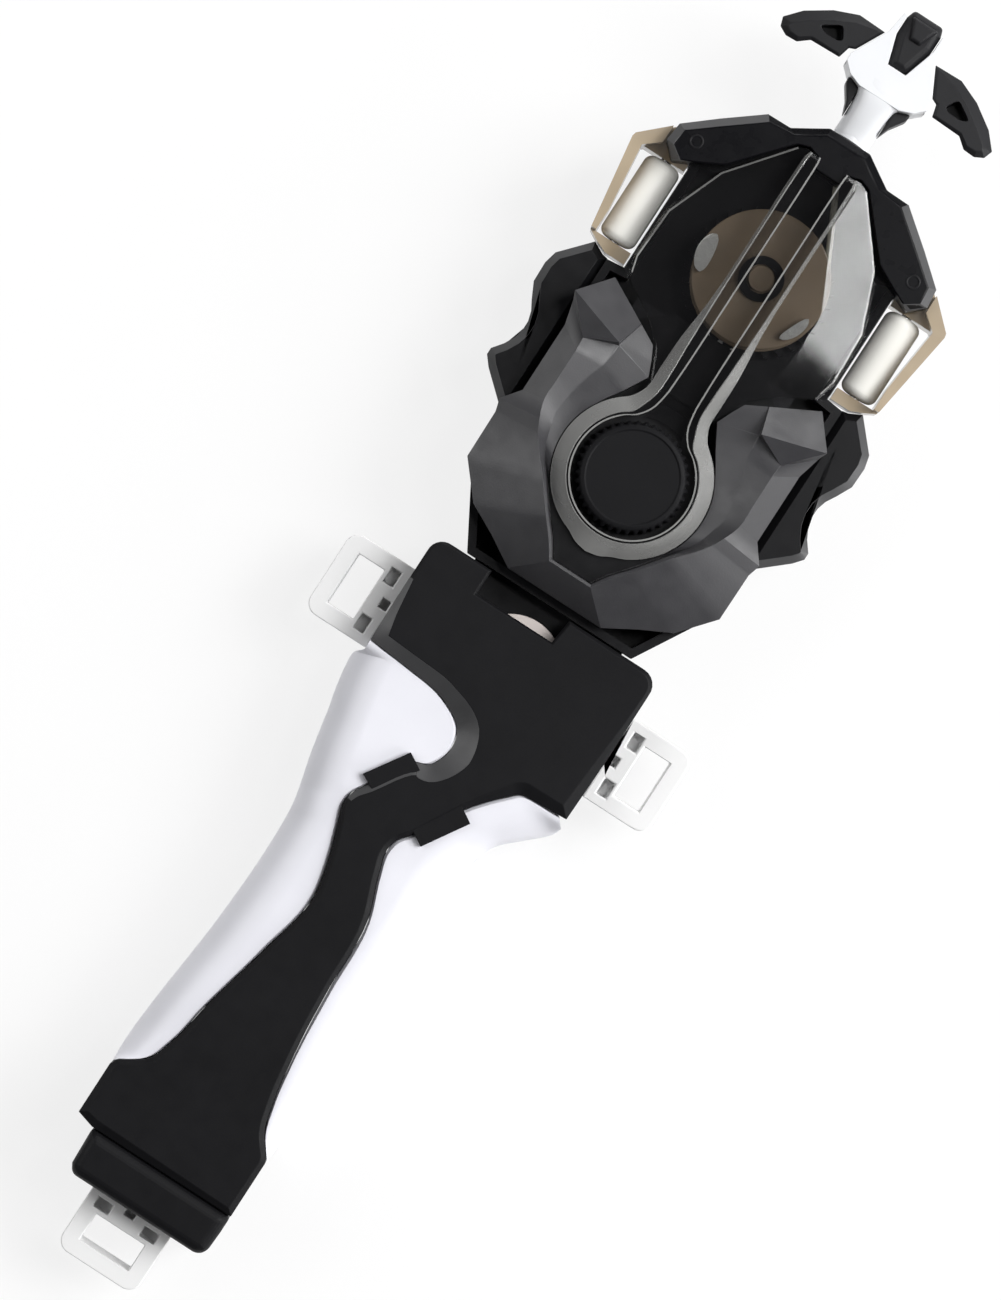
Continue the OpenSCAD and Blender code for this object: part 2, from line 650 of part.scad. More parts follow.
// Flat spiral spring: its radius grows evenly over its turns
spring_turns = 5;
spring_steps = 20;
spring_t = 0.35;
module mainspring() {
    inner = axle_r + 0.6;
    outer = drum_r - drum_wall - run_fit - spring_t;
    count = spring_turns * spring_steps;
    side = [for (i = [0:count]) let (a = 360 * i / spring_steps) [inner + (outer - inner) * i / count, a]];
    color(steel) translate([0, reel_y, 0])
        prism(concat([for (p = side) (p[0] + spring_t) * [cos(p[1]), sin(p[1])]],
            [for (i = [count:-1:0]) side[i][0] * [cos(side[i][1]), sin(side[i][1])]]),
            winding_z - flange_t + 0.2, reel_top - flange_t - hub_h - 0.3);
}
wind_r = drum_r + 2.5 * cord_r;
module cord_winding() {
    color(cream) difference() {
        disc(reel_at, wind_r, winding_z + side_gap, winding_z + drum_h - side_gap);
        disc(reel_at, drum_r + seat_fit, winding_z, winding_z + drum_h);
    }
}
// Run of the cord from the side of the winding to the eyelet, then out to the hub
lead_r = wind_r + cord_r + roller_gap;
eyelet_back = front_y - 2.4;
lead_angle = 90 - acos(lead_r / (eyelet_back - 0.6 - reel_y));
lead_start = reel_at + lead_r * [cos(lead_angle), sin(lead_angle)];
module cord_lead() {
    ends = [lead_start, [0, eyelet_back - 0.6]];
    route = concat([for (i = [0:8]) ends[0] + (ends[1] - ends[0]) * i / 9],
        bend(ends[0] * 0.06 + ends[1] * 0.94, ends[1], [0, eyelet_back], 3), [[0, front_y]]);
    color(cream) tube([for (p = route) [p[0], p[1], cord_z]], cord_r, 8);
}
module cord_end() {
    color(cream) bar_y(0, handle_z, cord_r, front_y, hub_y);
}
module cord_eyelet() {
    color(cream) difference() {
        bar_y(0, cord_z, eyelet_r, eyelet_back, front_y);
        bar_y(0, cord_z, eyelet_bore, eyelet_back - cut, front_y + cut);
    }
}

// Launch chuck on its spindle, from the top of the case down
module bearing_plate() {
    color(steel) difference() {
        box(-plate_half_w, plate_half_w, -plate_back, plate_front, plate_z, plate_z + plate_t);
        disc([0, 0], spindle_r + bush_wall + seat_fit, plate_z - cut, plate_z + plate_t + cut);
    }
}
module bush(z0, z1) {
    difference() {
        disc([0, 0], spindle_r + bush_wall, z0, z1);
        disc([0, 0], spindle_r + run_fit, z0 - cut, z1 + cut);
    }
}
module upper_bush() {
    color(brass) bush(plate_z, plate_z + plate_t);
}
module lower_bush() {
    color(brass) bush(chamber_top, floor_top + 0.2);
}
module chuck_gear() {
    color(white) difference() {
        prism(gear_outline(chuck_teeth, 90), gear_z, reel_z);
        disc([0, 0], spindle_r + seat_fit, gear_z - cut, reel_z + cut);
    }
}
plunger_head_t = prong_len - plunger_travel - roller_gap;
plunger_top = cup_h - plunger_travel - roller_gap;
plunger_well = floor_top + 1;
module chuck_spindle() {
    color(steel) difference() {
        disc([0, 0], spindle_r, chuck_z, plate_z + plate_t + 0.6);
        disc([0, 0], plunger_r + run_fit, chuck_z - cut, plunger_well);
    }
}
module launch_chuck() {
    prong_out = chuck_r;
    prong_in = chuck_r - 2;
    color(black) difference() {
        union() {
            disc([0, 0], chuck_r, chuck_z, chuck_top);
            for (a = [0, 180]) rotate(a) {
                box(prong_in - 0.6, prong_out - 0.4, -prong_w / 2, prong_w / 2, prong_z, chuck_z + chuck_t / 2);
                box(prong_in - prong_hook, prong_in, -prong_w / 2, prong_w / 2, prong_z, prong_z + 1);
            }
        }
        disc([0, 0], spindle_r + seat_fit, chuck_z - cut, chuck_top + cut);
    }
}
module centre_plunger() {
    color(white) union() {
        disc([0, 0], plunger_r, prong_z, plunger_top);
        disc([0, 0], plunger_r + 1.2, prong_z, prong_z + plunger_head_t);
    }
}
module plunger_spring() {
    color(steel) coil_spring([0, 0], plunger_r - 0.7, 0.3, plunger_top, plunger_well, 4);
}

// Pull handle, in outlines measured from the hub shoulder
arm_right = [[8.25, 5], [9.4, 4.5], [10, 2.2], [bar_span - 6.6, 2], [bar_span - 4.6, 0.4],
    [bar_span - 2.3, 0.3], [bar_span - 0.6, 1.2], [bar_span, 3], [bar_span - 2.6, 6], [15.5, 9],
    [11, 10.8], [5.42, 10.5]];
arm_pocket = [[10.6, 8.6], [13.4, 4.2], [16.6, 5.4], [15, 7.4]];
// The hub's ears stand up between the arms and the cap
hub_half = [[4.2, -0.2], [6.8, 0.8], [8.6, 2.5], [8.6, 4], [5, 11], [4.4, 15.2], [3.8, 15.2], [3.8, 12],
    [1.9, 5.8]];
gusset = [[6.6, 0.6], [4.2, -0.3], [3.7, -0.3], [3.7, -6], [4.7, -3.4], [6.6, -0.6]];
gusset_t = 6;
cap_half = [[1.75, 5.8], [3.6, 12], [3.6, 15], [3, 16.8]];
cap_chamfer = 1;
bridge_x = 10.6;
bridge_y0 = hub_y + 2.4;
bridge_y1 = hub_y + 5.2;
bridge_t = 5;
hub_low = handle_z - hub_t / 2;
hub_high = handle_z + hub_t / 2;
handle_screw_at = [0, (bridge_y0 + bridge_y1) / 2];
handle_screw_r = 0.8;
handle_head_r = 1.6;
module handle_bridge(grow) {
    half_t = bridge_t / 2 + grow;
    box(-bridge_x, bridge_x, bridge_y0 - grow, bridge_y1 + grow, handle_z - half_t, handle_z + half_t);
}
module handle_hub() {
    color(white) difference() {
        union() {
            prism(moved(both(hub_half), [0, hub_y]), hub_low, hub_high);
            bar_y(0, handle_z, neck_r, neck_y, hub_y + 1.5);
        }
        handle_bridge(seat_fit);
        bar_y(0, handle_z, cord_r + seat_fit, neck_y - cut, hub_y + seat_fit);
        disc(handle_screw_at, handle_screw_r + seat_fit, hub_low - cut, handle_z);
        disc(handle_screw_at, handle_head_r + seat_fit, hub_low - cut, hub_low + 1);
    }
}
module handle_bar() {
    low = handle_z - bar_t / 2;
    high = handle_z + bar_t / 2;
    color(black) difference() {
        union() {
            prism(moved(arm_right, [0, hub_y]), low, high);
            prism(moved(flip(arm_right), [0, hub_y]), low, high);
            handle_bridge(0);
        }
        for (s = [0, 1]) mirror([s, 0, 0]) prism(moved(arm_pocket, [0, hub_y]), high - 2.4, high + cut);
        disc(handle_screw_at, handle_screw_r + seat_fit, low, handle_z);
    }
}
module handle_cap() {
    low = handle_z - bar_t / 2 + 0.3;
    high = handle_z + bar_t / 2 + 0.5;
    color(black) bevelled(moved(both(cap_half), [0, hub_y]), low, high, cap_chamfer, cap_chamfer);
}
// Black ribs under the hub's shoulders, one on each side of its neck
module handle_gussets() {
    color(black) for (s = [0, 1]) mirror([s, 0, 0])
        prism(moved(gusset, [0, hub_y]), handle_z - gusset_t / 2, handle_z + gusset_t / 2);
}
module handle_screw() {
    color(steel) union() {
        disc(handle_screw_at, handle_screw_r, hub_low + 0.2, handle_z);
        disc(handle_screw_at, handle_head_r, hub_low + 0.2, hub_low + 1);
    }
}

// Grip edges as pairs of points, outer edge of a side panel and edge of the black core beside it
thumb_edge = [[[0.15 - head_w, -72.5], [0.15 - head_w, -70.3]], [[-25.4, -74.2], [-15, -71.1]],
    [[-25.3, -77], [-6.8, -72.4]],
    [[-24.9, -79.6], [-1.8, -75.6]], [[-24.4, -82.2], [-0.8, -79.5]], [[-23.7, -85], [-2.3, -83.5]],
    [[-23, -88.6], [-4.8, -84.7]], [[-21.4, -96], [-9.8, -92.6]], [[-20.5, -99.4], [-11.5, -95.5]],
    [[-19.8, -102.4], [-11.8, -98]], [[-19.4, -106], [-10.3, -102.5]], [[-19.2, -111], [-8.8, -107]],
    [[-19.2, -117], [-7.1, -114.5]], [[-19.9, -131], [-9.3, -128]], [[-21.5, -148], [-12.8, -143]],
    [[-21.9, -155], [-14.3, -151]], [[-21.8, -158.4], [-16.3, -156]], [[-21.6, -159.9], [-20.9, -159.1]]];
finger_edge = [[[23.9, -80.6], [22.4, -78.8]], [[22.8, -83], [14.8, -79.1]], [[19, -86.6], [12.3, -81.1]],
    [[15.4, -90.4], [7.9, -86.1]], [[13.9, -95], [4.6, -91.3]], [[13.2, -99], [1.4, -96.5]],
    [[13, -102], [-0.1, -98.5]], [[12.9, -104.6], [-0.6, -101]], [[13, -109], [0.4, -105]],
    [[13.2, -117], [3.4, -113.5]], [[13.4, -131], [4.3, -128]], [[13, -148], [5.7, -143]],
    [[12.5, -155], [7.1, -151]], [[12.1, -158.5], [8.7, -156]], [[11.9, -160.1], [11.3, -159.3]]];
edge_steps = 3;
thumb_line = eased(thumb_edge, edge_steps);
finger_line = eased(finger_edge, edge_steps);
butt_y = -172;
butt_left = -21.7;
butt_right = 11.8;
butt_chamfer = 1.2;
end_len = 9.2;
end_y = butt_y - end_len;
core_sides = concat([[-head_w, grip_y - 2.5], [-head_w, -70.1]], [for (e = thumb_line) e[1]],
    [[butt_left, -160.6], [butt_left, butt_y + 1], [butt_left + 3.5, butt_y],
        [butt_right, butt_y], [butt_right, -160.6]],
    [for (i = [len(finger_line) - 1:-1:0]) finger_line[i][1]],
    [[head_w, -74], [head_w, grip_y - 2.5], [head_w - 2.5, grip_y]]);
notch_left = -12.2;
notch_right = 4;
notch_y = grip_y - 5;
core_lower = concat(core_sides, [[-head_w + 2.5, grip_y]]);
core_upper = concat(core_sides, [[notch_right + 0.5, grip_y], [notch_right, notch_y], [notch_left, notch_y],
    [notch_left, grip_y], [-head_w + 2.5, grip_y]]);
grip_wall = 2;
// Hollow of the handle part of the grip
stem_hollow = [[-9.2, -97], [-8, -102], [-5, -114], [-6.8, -128], [-10.2, -143], [-13, -154.5], [-19, -161],
    [-19, butt_y + grip_wall], [9.4, butt_y + grip_wall], [9.4, -161.5], [5, -154.5], [3.4, -143],
    [2.2, -128], [1.2, -114], [-2.4, -104], [-3, -98]];
grip_screw_at = [[-18, -66], [18, -71], [-2.4, -121], [-5, -164]];
grip_post_r = 3;
grip_head_z = 0.8;
head_hollow = [-head_w + grip_wall, head_w - grip_wall, -75, -64.5];
tab_left = [[-3.4, -85.4], [-6.6, -83.6], [-11.8, -91.6], [-8.6, -93.2]];
tab_right = [[0.8, -95], [4.2, -97], [9.5, -88.6], [6.2, -86.6]];
panel_z0 = grip_mid - panel_t / 2;
panel_z1 = grip_mid + panel_t / 2;

// Space swept by the lock button and its latch
latch_top = cup_h - roller_gap;
latch_low = latch_top - latch_t;
latch_back = tongue_y - move_gap - latch_t;
latch_front = tongue_y + 8.4;
lock_spring_at = [lock_at[0], tongue_y + 3];
lock_spring_z = 3;
module latch_space() {
    x0 = lock_at[0] - latch_w / 2 - move_gap;
    x1 = lock_at[0] + latch_w / 2 + move_gap;
    y0 = latch_back - move_gap;
    box(x0, x1, y0, latch_front + move_gap, latch_low - lock_travel - move_gap, cup_h + cut);
    box(x0, x1, y0, tongue_y, cup_h - cut, lock_z);
    disc(lock_at, lock_r + move_gap, tongue_top, lock_top + move_gap);
    disc(lock_spring_at, 2.8, lock_spring_z, latch_low);
}
module grip_hollow(z0, z1) {
    difference() {
        union() {
            box(head_hollow[0], head_hollow[1], head_hollow[2], head_hollow[3], z0, z1);
            prism(stem_hollow, z0, z1);
        }
        for (p = grip_screw_at) disc(p, grip_post_r, z0 - cut, z1 + cut);
    }
}
module grip_lower_shell() {
    color(black) difference() {
        prism(core_lower, 0, grip_mid);
        grip_hollow(grip_wall, grip_mid + cut);
        latch_space();
        for (p = grip_screw_at) {
            disc(p, screw_r + seat_fit, -cut, grip_mid + cut);
            disc(p, screw_head_r + seat_fit, -cut, grip_head_z + screw_head_t);
        }
    }
}
module grip_upper_shell() {
    color(black) difference() {
        union() {
            prism(core_upper, grip_mid, grip_t);
            prism(tab_left, panel_z1 + side_gap, grip_t - 0.2);
            prism(tab_right, panel_z1 + side_gap, grip_t - 0.2);
        }
        grip_hollow(grip_mid - cut, grip_t - grip_wall);
        box(-tongue_w - side_gap, tongue_w + side_gap, tongue_y - move_gap, grip_y + cut,
            grip_mid - cut, tongue_top + side_gap);
        latch_space();
        for (p = grip_screw_at) disc(p, screw_r + seat_fit, grip_mid - cut, grip_t - 2 * grip_wall);
    }
}
module grip_screws() {
    color(steel) for (p = grip_screw_at) {
        slotted_head(p, grip_head_z);
        disc(p, screw_r, grip_head_z + screw_head_t, grip_t - 2 * grip_wall - move_gap);
    }
}
// Cross-section of a side panel from its outer to its inner edge, with the outer corners rounded
function panel_section(pair) =
    let (to = unit(pair[1] - pair[0]), in = pair[1] - side_gap * to, width = norm(in - pair[0]))
    let (r = min(panel_round, 0.85 * width))
    let (turn = [for (i = [0:4]) let (a = 22.5 * i) [each (pair[0] + to * r * (1 - sin(a))), r * (1 - cos(a))]])
    concat(
        [[each in, panel_z0]],
        [for (p = turn) [p[0], p[1], panel_z0 + p[2]]],
        [for (p = backwards(turn)) [p[0], p[1], panel_z1 - p[2]]],
        [[each in, panel_z1]]);
module thumb_panel() {
    color(white) loft([for (e = thumb_line) panel_section(e)]);
}
module finger_panel() {
    color(white) loft([for (e = finger_line) backwards(panel_section(e))]);
}
module grip_end_cap() {
    joint_y = butt_y - side_gap;
    color(black) bevelled([[butt_left + 3.7, joint_y], [butt_left + 4, end_y + 1.7], [butt_left + 5, end_y],
        [butt_right - 1.5, end_y], [butt_right - 0.2, end_y + 1.4], [butt_right, end_y + 5.7], [butt_right, joint_y]],
        0, grip_t, butt_chamfer, butt_chamfer);
}

// Lanyard loop that grows out of an edge along +X
module lanyard_loop() {
    half = loop_len / 2;
    round_r = 2.6;
    foot = loop_reach - 2 * loop_bar - 2.4;
    low = loop_mid_z - loop_t / 2;
    high = loop_mid_z + loop_t / 2;
    difference() {
        union() {
            box(0, loop_reach - round_r, -half, half, low, high);
            box(0, loop_reach, -half + round_r, half - round_r, low, high);
            for (s = [-1, 1]) disc([loop_reach - round_r, s * (half - round_r)], round_r, low, high);
        }
        box(foot, loop_reach - loop_bar, -half + loop_bar, half - loop_bar, 0, grip_t);
        for (s = [-1, 1]) box(1.8, 3.9, s * 5 - 1.6, s * 5 + 1.6, loop_mid_z, grip_t);
        box(0.5, 2.2, -1, 1, loop_mid_z, grip_t);
    }
}
left_loop_y = grip_y - 7.3 - loop_len / 2;
loop_y = grip_y - 8.5 - loop_len / 2;
butt_loop_x = -3.7;
module left_loop() {
    color(white) translate([-head_w, left_loop_y, 0]) rotate(180) lanyard_loop();
}
module right_loop() {
    color(white) translate([head_w, loop_y, 0]) lanyard_loop();
}
module butt_loop() {
    color(white) translate([butt_loop_x, end_y, 0]) rotate(-90) lanyard_loop();
}

module lock_button() {
    x0 = lock_at[0] - latch_w / 2;
    x1 = lock_at[0] + latch_w / 2;
    color(white) union() {
        disc(lock_at, lock_r, lock_z, lock_top);
        box(x0, x1, latch_back, latch_back + latch_t, latch_low, lock_z + lock_t / 2);
        box(x0, x1, latch_back, latch_front, latch_low, latch_top);
        box(x0 + move_gap, x1 - move_gap, tooth_y + move_gap, latch_front - move_gap, latch_low, cup_h + tooth_h);
    }
}
module lock_spring() {
    color(steel) coil_spring(lock_spring_at, 2, 0.35, lock_spring_z, latch_low, 5);
}

launcher_base();
launch_cup();
cup_roof();
case_screws();
left_wing();
right_wing();
top_cover();
front_bezel();
smoke_window();
knob_collar();
knob_seat();
selector_knob();
selector_shaft();
direction_slider();
detent_spring();
left_bracket();
right_bracket();
roller_axles();
left_roller();
right_roller();
reel_axle();
reel_gear();
cord_reel();
reel_ring();
mainspring();
cord_winding();
cord_lead();
cord_end();
cord_eyelet();
bearing_plate();
upper_bush();
lower_bush();
chuck_gear();
chuck_spindle();
launch_chuck();
centre_plunger();
plunger_spring();
handle_hub();
handle_bar();
handle_cap();
handle_gussets();
handle_screw();
grip_lower_shell();
grip_upper_shell();
grip_screws();
thumb_panel();
finger_panel();
grip_end_cap();
left_loop();
right_loop();
butt_loop();
lock_button();
lock_spring();
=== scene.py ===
"""Dresses the spinning top launcher: its finishes, soft edges and sculpted pieces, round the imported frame."""
import math

import bmesh
import bpy
import numpy as np
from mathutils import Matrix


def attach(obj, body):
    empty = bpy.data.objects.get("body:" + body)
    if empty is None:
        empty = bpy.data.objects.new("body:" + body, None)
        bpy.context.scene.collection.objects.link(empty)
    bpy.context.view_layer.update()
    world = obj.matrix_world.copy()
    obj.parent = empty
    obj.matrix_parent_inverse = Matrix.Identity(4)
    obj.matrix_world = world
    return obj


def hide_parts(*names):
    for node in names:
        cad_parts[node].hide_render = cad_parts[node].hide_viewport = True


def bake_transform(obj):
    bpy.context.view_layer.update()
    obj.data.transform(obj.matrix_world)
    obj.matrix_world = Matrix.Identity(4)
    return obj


bl_info = {
    "name": "Spinning top launcher",
    "version": (1, 0, 0),
    "blender": (4, 5, 0),
    "location": "View3D > Sidebar > Launcher",
    "description": "Finishes and sculpted pieces of a pull-cord spinning top launcher",
    "category": "Object",
}

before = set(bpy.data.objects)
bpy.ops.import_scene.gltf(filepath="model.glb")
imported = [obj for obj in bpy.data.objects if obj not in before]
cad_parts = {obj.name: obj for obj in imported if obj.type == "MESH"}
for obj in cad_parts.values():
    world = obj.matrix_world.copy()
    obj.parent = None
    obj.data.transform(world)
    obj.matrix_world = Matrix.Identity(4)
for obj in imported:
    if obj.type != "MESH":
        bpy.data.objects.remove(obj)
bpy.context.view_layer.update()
MM = 0.001


def colour_prop(name, text, value):
    """Colour setting with linear red, green and blue."""
    return bpy.props.FloatVectorProperty(
        name=name, description=text, default=value, size=3, min=0.0, max=1.0, subtype="COLOR")


def length_prop(name, text, value):
    """Length setting in metres, with its default given in millimetres."""
    return bpy.props.FloatProperty(
        name=name, description=text, default=value * MM, min=0.0, precision=5, unit="LENGTH")


class LauncherColours(bpy.types.PropertyGroup):
    """Colours of the mouldings and fittings."""

    case_black: colour_prop("Case black", "Lower case, wings, reel gear and chuck", (0.0075, 0.0075, 0.0085))
    bezel_black: colour_prop("Bezel black", "Bezel round the window", (0.004, 0.004, 0.005))
    # Edge grey is a painted highlight: the lighter chamfers of wings, bezel and grip.
    highlight_grey: colour_prop("Edge grey", "Chamfers of wings, bezel and grip", (0.05, 0.05, 0.052))
    cover_charcoal: colour_prop("Cover charcoal", "Ridged cover over the case", (0.036, 0.0355, 0.039))
    knob_black: colour_prop("Knob black", "Selector knob", (0.008, 0.008, 0.009))
    handle_black: colour_prop("Handle black", "Finger bar, cap and gussets", (0.014, 0.014, 0.0155))
    grip_black: colour_prop("Grip black", "Core and butt of the grip", (0.0075, 0.0075, 0.0085))
    panel_white: colour_prop("Panel white", "Side panels of the grip", (0.74, 0.74, 0.79))
    hub_white: colour_prop("Hub white", "Hub and neck of the pull handle", (0.72, 0.73, 0.75))
    loop_white: colour_prop("Loop white", "Lanyard loops", (0.8, 0.8, 0.8))
    lock_grey: colour_prop("Lock grey", "Lock button", (0.62, 0.56, 0.53))
    roller_white: colour_prop("Roller white", "Side rollers", (0.86, 0.85, 0.8))
    # Nylon white also colours the crescents under the pane, which are painted reflections.
    nylon_white: colour_prop("Nylon white", "Chuck gear, slider, plunger and crescents", (0.78, 0.78, 0.75))
    nylon_cream: colour_prop("Nylon cream", "Cord eyelet", (0.76, 0.7, 0.54))
    smoke_tint: colour_prop("Smoke tint", "Window pane and clear rim", (0.012, 0.012, 0.013))
    # Rim tint paints the highlights: the light band on the clear rim, its inner line and the lines along the
    # pane.
    rim_highlight_tint: colour_prop("Rim tint", "Band of the clear rim and lines of the pane", (0.42, 0.42, 0.41))
    brown_tint: colour_prop("Brown tint", "Roller brackets", (0.42, 0.34, 0.24))
    reel_tint: colour_prop("Reel tint", "Cord reel and axle cap", (0.4, 0.31, 0.22))
    plate_black: colour_prop("Plate black", "Bearing plate", (0.03, 0.03, 0.032))
    steel_grey: colour_prop("Steel grey", "Axles, shafts, screws and springs", (0.56, 0.56, 0.57))
    brass_gold: colour_prop("Brass gold", "Bushes", (0.68, 0.5, 0.2))
    cord_cream: colour_prop("Cord cream", "Pull cord", (0.72, 0.69, 0.58))


class LauncherSizes(bpy.types.PropertyGroup):
    """Sizes of the dressed details."""

    case_edge: length_prop("Case edge", "Rounding of the case, brackets, handle and loops", 0.5)
    grip_edge: length_prop("Grip edge", "Rounding of the grip's edges", 0.9)
    hub_edge: length_prop("Hub edge", "Rounding of the hub's edges", 0.9)
    fine_edge: length_prop("Fine edge", "Rounding of small fittings", 0.25)


def colours():
    """Colour settings of the scene."""
    return bpy.context.scene.launcher_colours


def sizes():
    """Size settings of the scene."""
    return bpy.context.scene.launcher_sizes


def shader_node(tree, kind, **values):
    """New shader node whose named input sockets take the values."""
    node = tree.nodes.new(kind)
    for name, value in values.items():
        node.inputs[name.replace("_", " ")].default_value = value
    return node


def new_finish(name):
    """New node material with its tree and its main shader."""
    finish = bpy.data.materials.new(name)
    finish.use_nodes = True
    return finish, finish.node_tree, finish.node_tree.nodes["Principled BSDF"]


def noise(tree, size, detail=2.0):
    """Noise on Object coordinates with features about `size` millimetres across."""
    coords = tree.nodes.get("Texture Coordinate") or tree.nodes.new("ShaderNodeTexCoord")
    node = shader_node(tree, "ShaderNodeTexNoise", Scale=1.0 / (size * MM), Detail=detail)
    tree.links.new(coords.outputs["Object"], node.inputs["Vector"])
    return node.outputs["Fac"]


def remap(tree, source, low, high):
    """Carries the middle of a noise, 0.3 to 0.7, over to low to high."""
    node = tree.nodes.new("ShaderNodeMapRange")
    for name, value in (("From Min", 0.3), ("From Max", 0.7), ("To Min", low), ("To Max", high)):
        node.inputs[name].default_value = value
    tree.links.new(source, node.inputs["Value"])
    return node.outputs["Result"]


def drift(tree, source, colour, share):
    """Colour that drifts up and down by a share of itself along a noise."""
    node = tree.nodes.new("ShaderNodeMix")
    node.data_type = "RGBA"
    node.inputs["A"].default_value = (*[c * (1.0 - share) for c in colour], 1.0)
    node.inputs["B"].default_value = (*[min(1.0, c * (1.0 + share)) for c in colour], 1.0)
    tree.links.new(remap(tree, source, 0.0, 1.0), node.inputs["Factor"])
    return node.outputs["Result"]


def grain(tree, shader, size, depth):
    """Fine noise that pushes the surface in and out by `depth` millimetres."""
    bump = shader_node(tree, "ShaderNodeBump", Distance=depth * MM, Strength=1.0)
    tree.links.new(noise(tree, size, 3.0), bump.inputs["Height"])
    tree.links.new(bump.outputs["Normal"], shader.inputs["Normal"])


def moulded(name, colour, rough, size, depth, share=0.1, specular=0.5):
    """Moulded plastic: colour clouds over centimetres, uneven sheen over millimetres and a fine grain."""
    finish, tree, shader = new_finish(name)
    tree.links.new(drift(tree, noise(tree, 14.0, 4.0), colour, share), shader.inputs["Base Color"])
    tree.links.new(remap(tree, noise(tree, 3.0), rough - 0.05, rough + 0.05), shader.inputs["Roughness"])
    shader.inputs["Specular IOR Level"].default_value = specular
    grain(tree, shader, size, depth)
    return finish


def clear(name, tint, rough, cover, index, share=0.08):
    """Tinted see-through plastic: covers a share of what lies behind it, with swirls and a wavy skin."""
    finish, tree, shader = new_finish(name)
    tree.links.new(drift(tree, noise(tree, 9.0, 3.0), tint, share), shader.inputs["Base Color"])
    tree.links.new(remap(tree, noise(tree, 5.0), rough * 0.6, rough * 1.4), shader.inputs["Roughness"])
    shader.inputs["Alpha"].default_value = cover
    shader.inputs["IOR"].default_value = index
    grain(tree, shader, 2.5, 0.004)
    return finish


def metal(name, colour, rough):
    """Bare metal: mottled colour, uneven roughness and fine scratches."""
    finish, tree, shader = new_finish(name)
    tree.links.new(drift(tree, noise(tree, 2.0, 4.0), colour, 0.12), shader.inputs["Base Color"])
    tree.links.new(remap(tree, noise(tree, 0.8), rough - 0.1, rough + 0.1), shader.inputs["Roughness"])
    shader.inputs["Metallic"].default_value = 1.0
    grain(tree, shader, 0.15, 0.004)
    return finish


def finishes():
    """Makes each finish of the object once and returns them by name."""
    c = colours()
    return {
        "case": moulded("case_black", c.case_black, 0.34, 0.25, 0.01, specular=0.2),
        "bezel": moulded("bezel_black", c.bezel_black, 0.3, 0.25, 0.006, specular=0.12),
        "cover": moulded("cover_charcoal", c.cover_charcoal, 0.42, 0.3, 0.016, specular=0.6),
        "knob": moulded("knob_black", c.knob_black, 0.55, 0.3, 0.014, specular=0.1),
        "handle": moulded("handle_black", c.handle_black, 0.45, 0.25, 0.012, specular=0.2),
        "grip": moulded("grip_black", c.grip_black, 0.5, 0.3, 0.014, specular=0.12),
        # Painted highlight for the chamfers.
        "edge": moulded("highlight_grey", c.highlight_grey, 0.4, 0.25, 0.01, specular=0.5),
        "lock": moulded("lock_grey", c.lock_grey, 0.4, 0.4, 0.006, 0.04),
        "panel": moulded("panel_white", c.panel_white, 0.38, 0.4, 0.006, 0.02),
        "hub": moulded("hub_white", c.hub_white, 0.36, 0.4, 0.006, 0.02),
        "loop": moulded("loop_white", c.loop_white, 0.34, 0.4, 0.006, 0.02),
        "roller": moulded("roller_white", c.roller_white, 0.5, 0.5, 0.005, 0.02, specular=0.25),
        "nylon": moulded("nylon_white", c.nylon_white, 0.45, 0.3, 0.008, 0.03),
        "cream": moulded("nylon_cream", c.nylon_cream, 0.45, 0.3, 0.008, 0.04),
        "smoke": clear("smoke_clear", c.smoke_tint, 0.08, 0.3, 1.9),
        # Painted highlight on the clear rim and the pane.
        "rim": clear("smoke_highlight", c.rim_highlight_tint, 0.16, 0.47, 1.6),
        "brown": clear("brown_clear", c.brown_tint, 0.14, 0.86, 1.5),
        "reel": clear("reel_clear", c.reel_tint, 0.2, 0.85, 1.5),
        "plate": metal("plate_black", c.plate_black, 0.45),
        "steel": metal("steel_grey", c.steel_grey, 0.32),
        "brass": metal("brass_gold", c.brass_gold, 0.34),
        "cord": moulded("cord_cream", c.cord_cream, 0.8, 0.2, 0.05, 0.12),
    }


FINISHES = {}


def finish_of(name):
    """Finish by its short name, made on first use."""
    if not FINISHES:
        FINISHES.update(finishes())
    return FINISHES[name]


def bevel(obj, width, segments=3, angle=28.0):
    """Rounds edges that turn by more than an angle in degrees, with live modifiers."""
    edge = obj.modifiers.new("edges", "BEVEL")
    edge.width = width
    edge.segments = segments
    edge.limit_method = "ANGLE"
    edge.angle_limit = math.radians(angle)
    obj.modifiers.new("shading", "WEIGHTED_NORMAL").keep_sharp = True


def soften(obj, width):
    """Rounds a node's sharp edges: merges its points, joins its flat faces and bevels what still turns."""
    weld = obj.modifiers.new("merge", "WELD")
    weld.merge_threshold = 0.002 * MM
    flat = obj.modifiers.new("flats", "DECIMATE")
    flat.decimate_type = "DISSOLVE"
    flat.angle_limit = math.radians(0.6)
    bevel(obj, width, angle=32.0)


def dress(nodes, finish, width=0.0):
    """Puts a finish on frame nodes and rounds their edges by a width in metres."""
    for name in nodes:
        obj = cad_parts[name]
        obj.data.materials.clear()
        obj.data.materials.append(finish_of(finish))
        if width > 0.0:
            soften(obj, width)


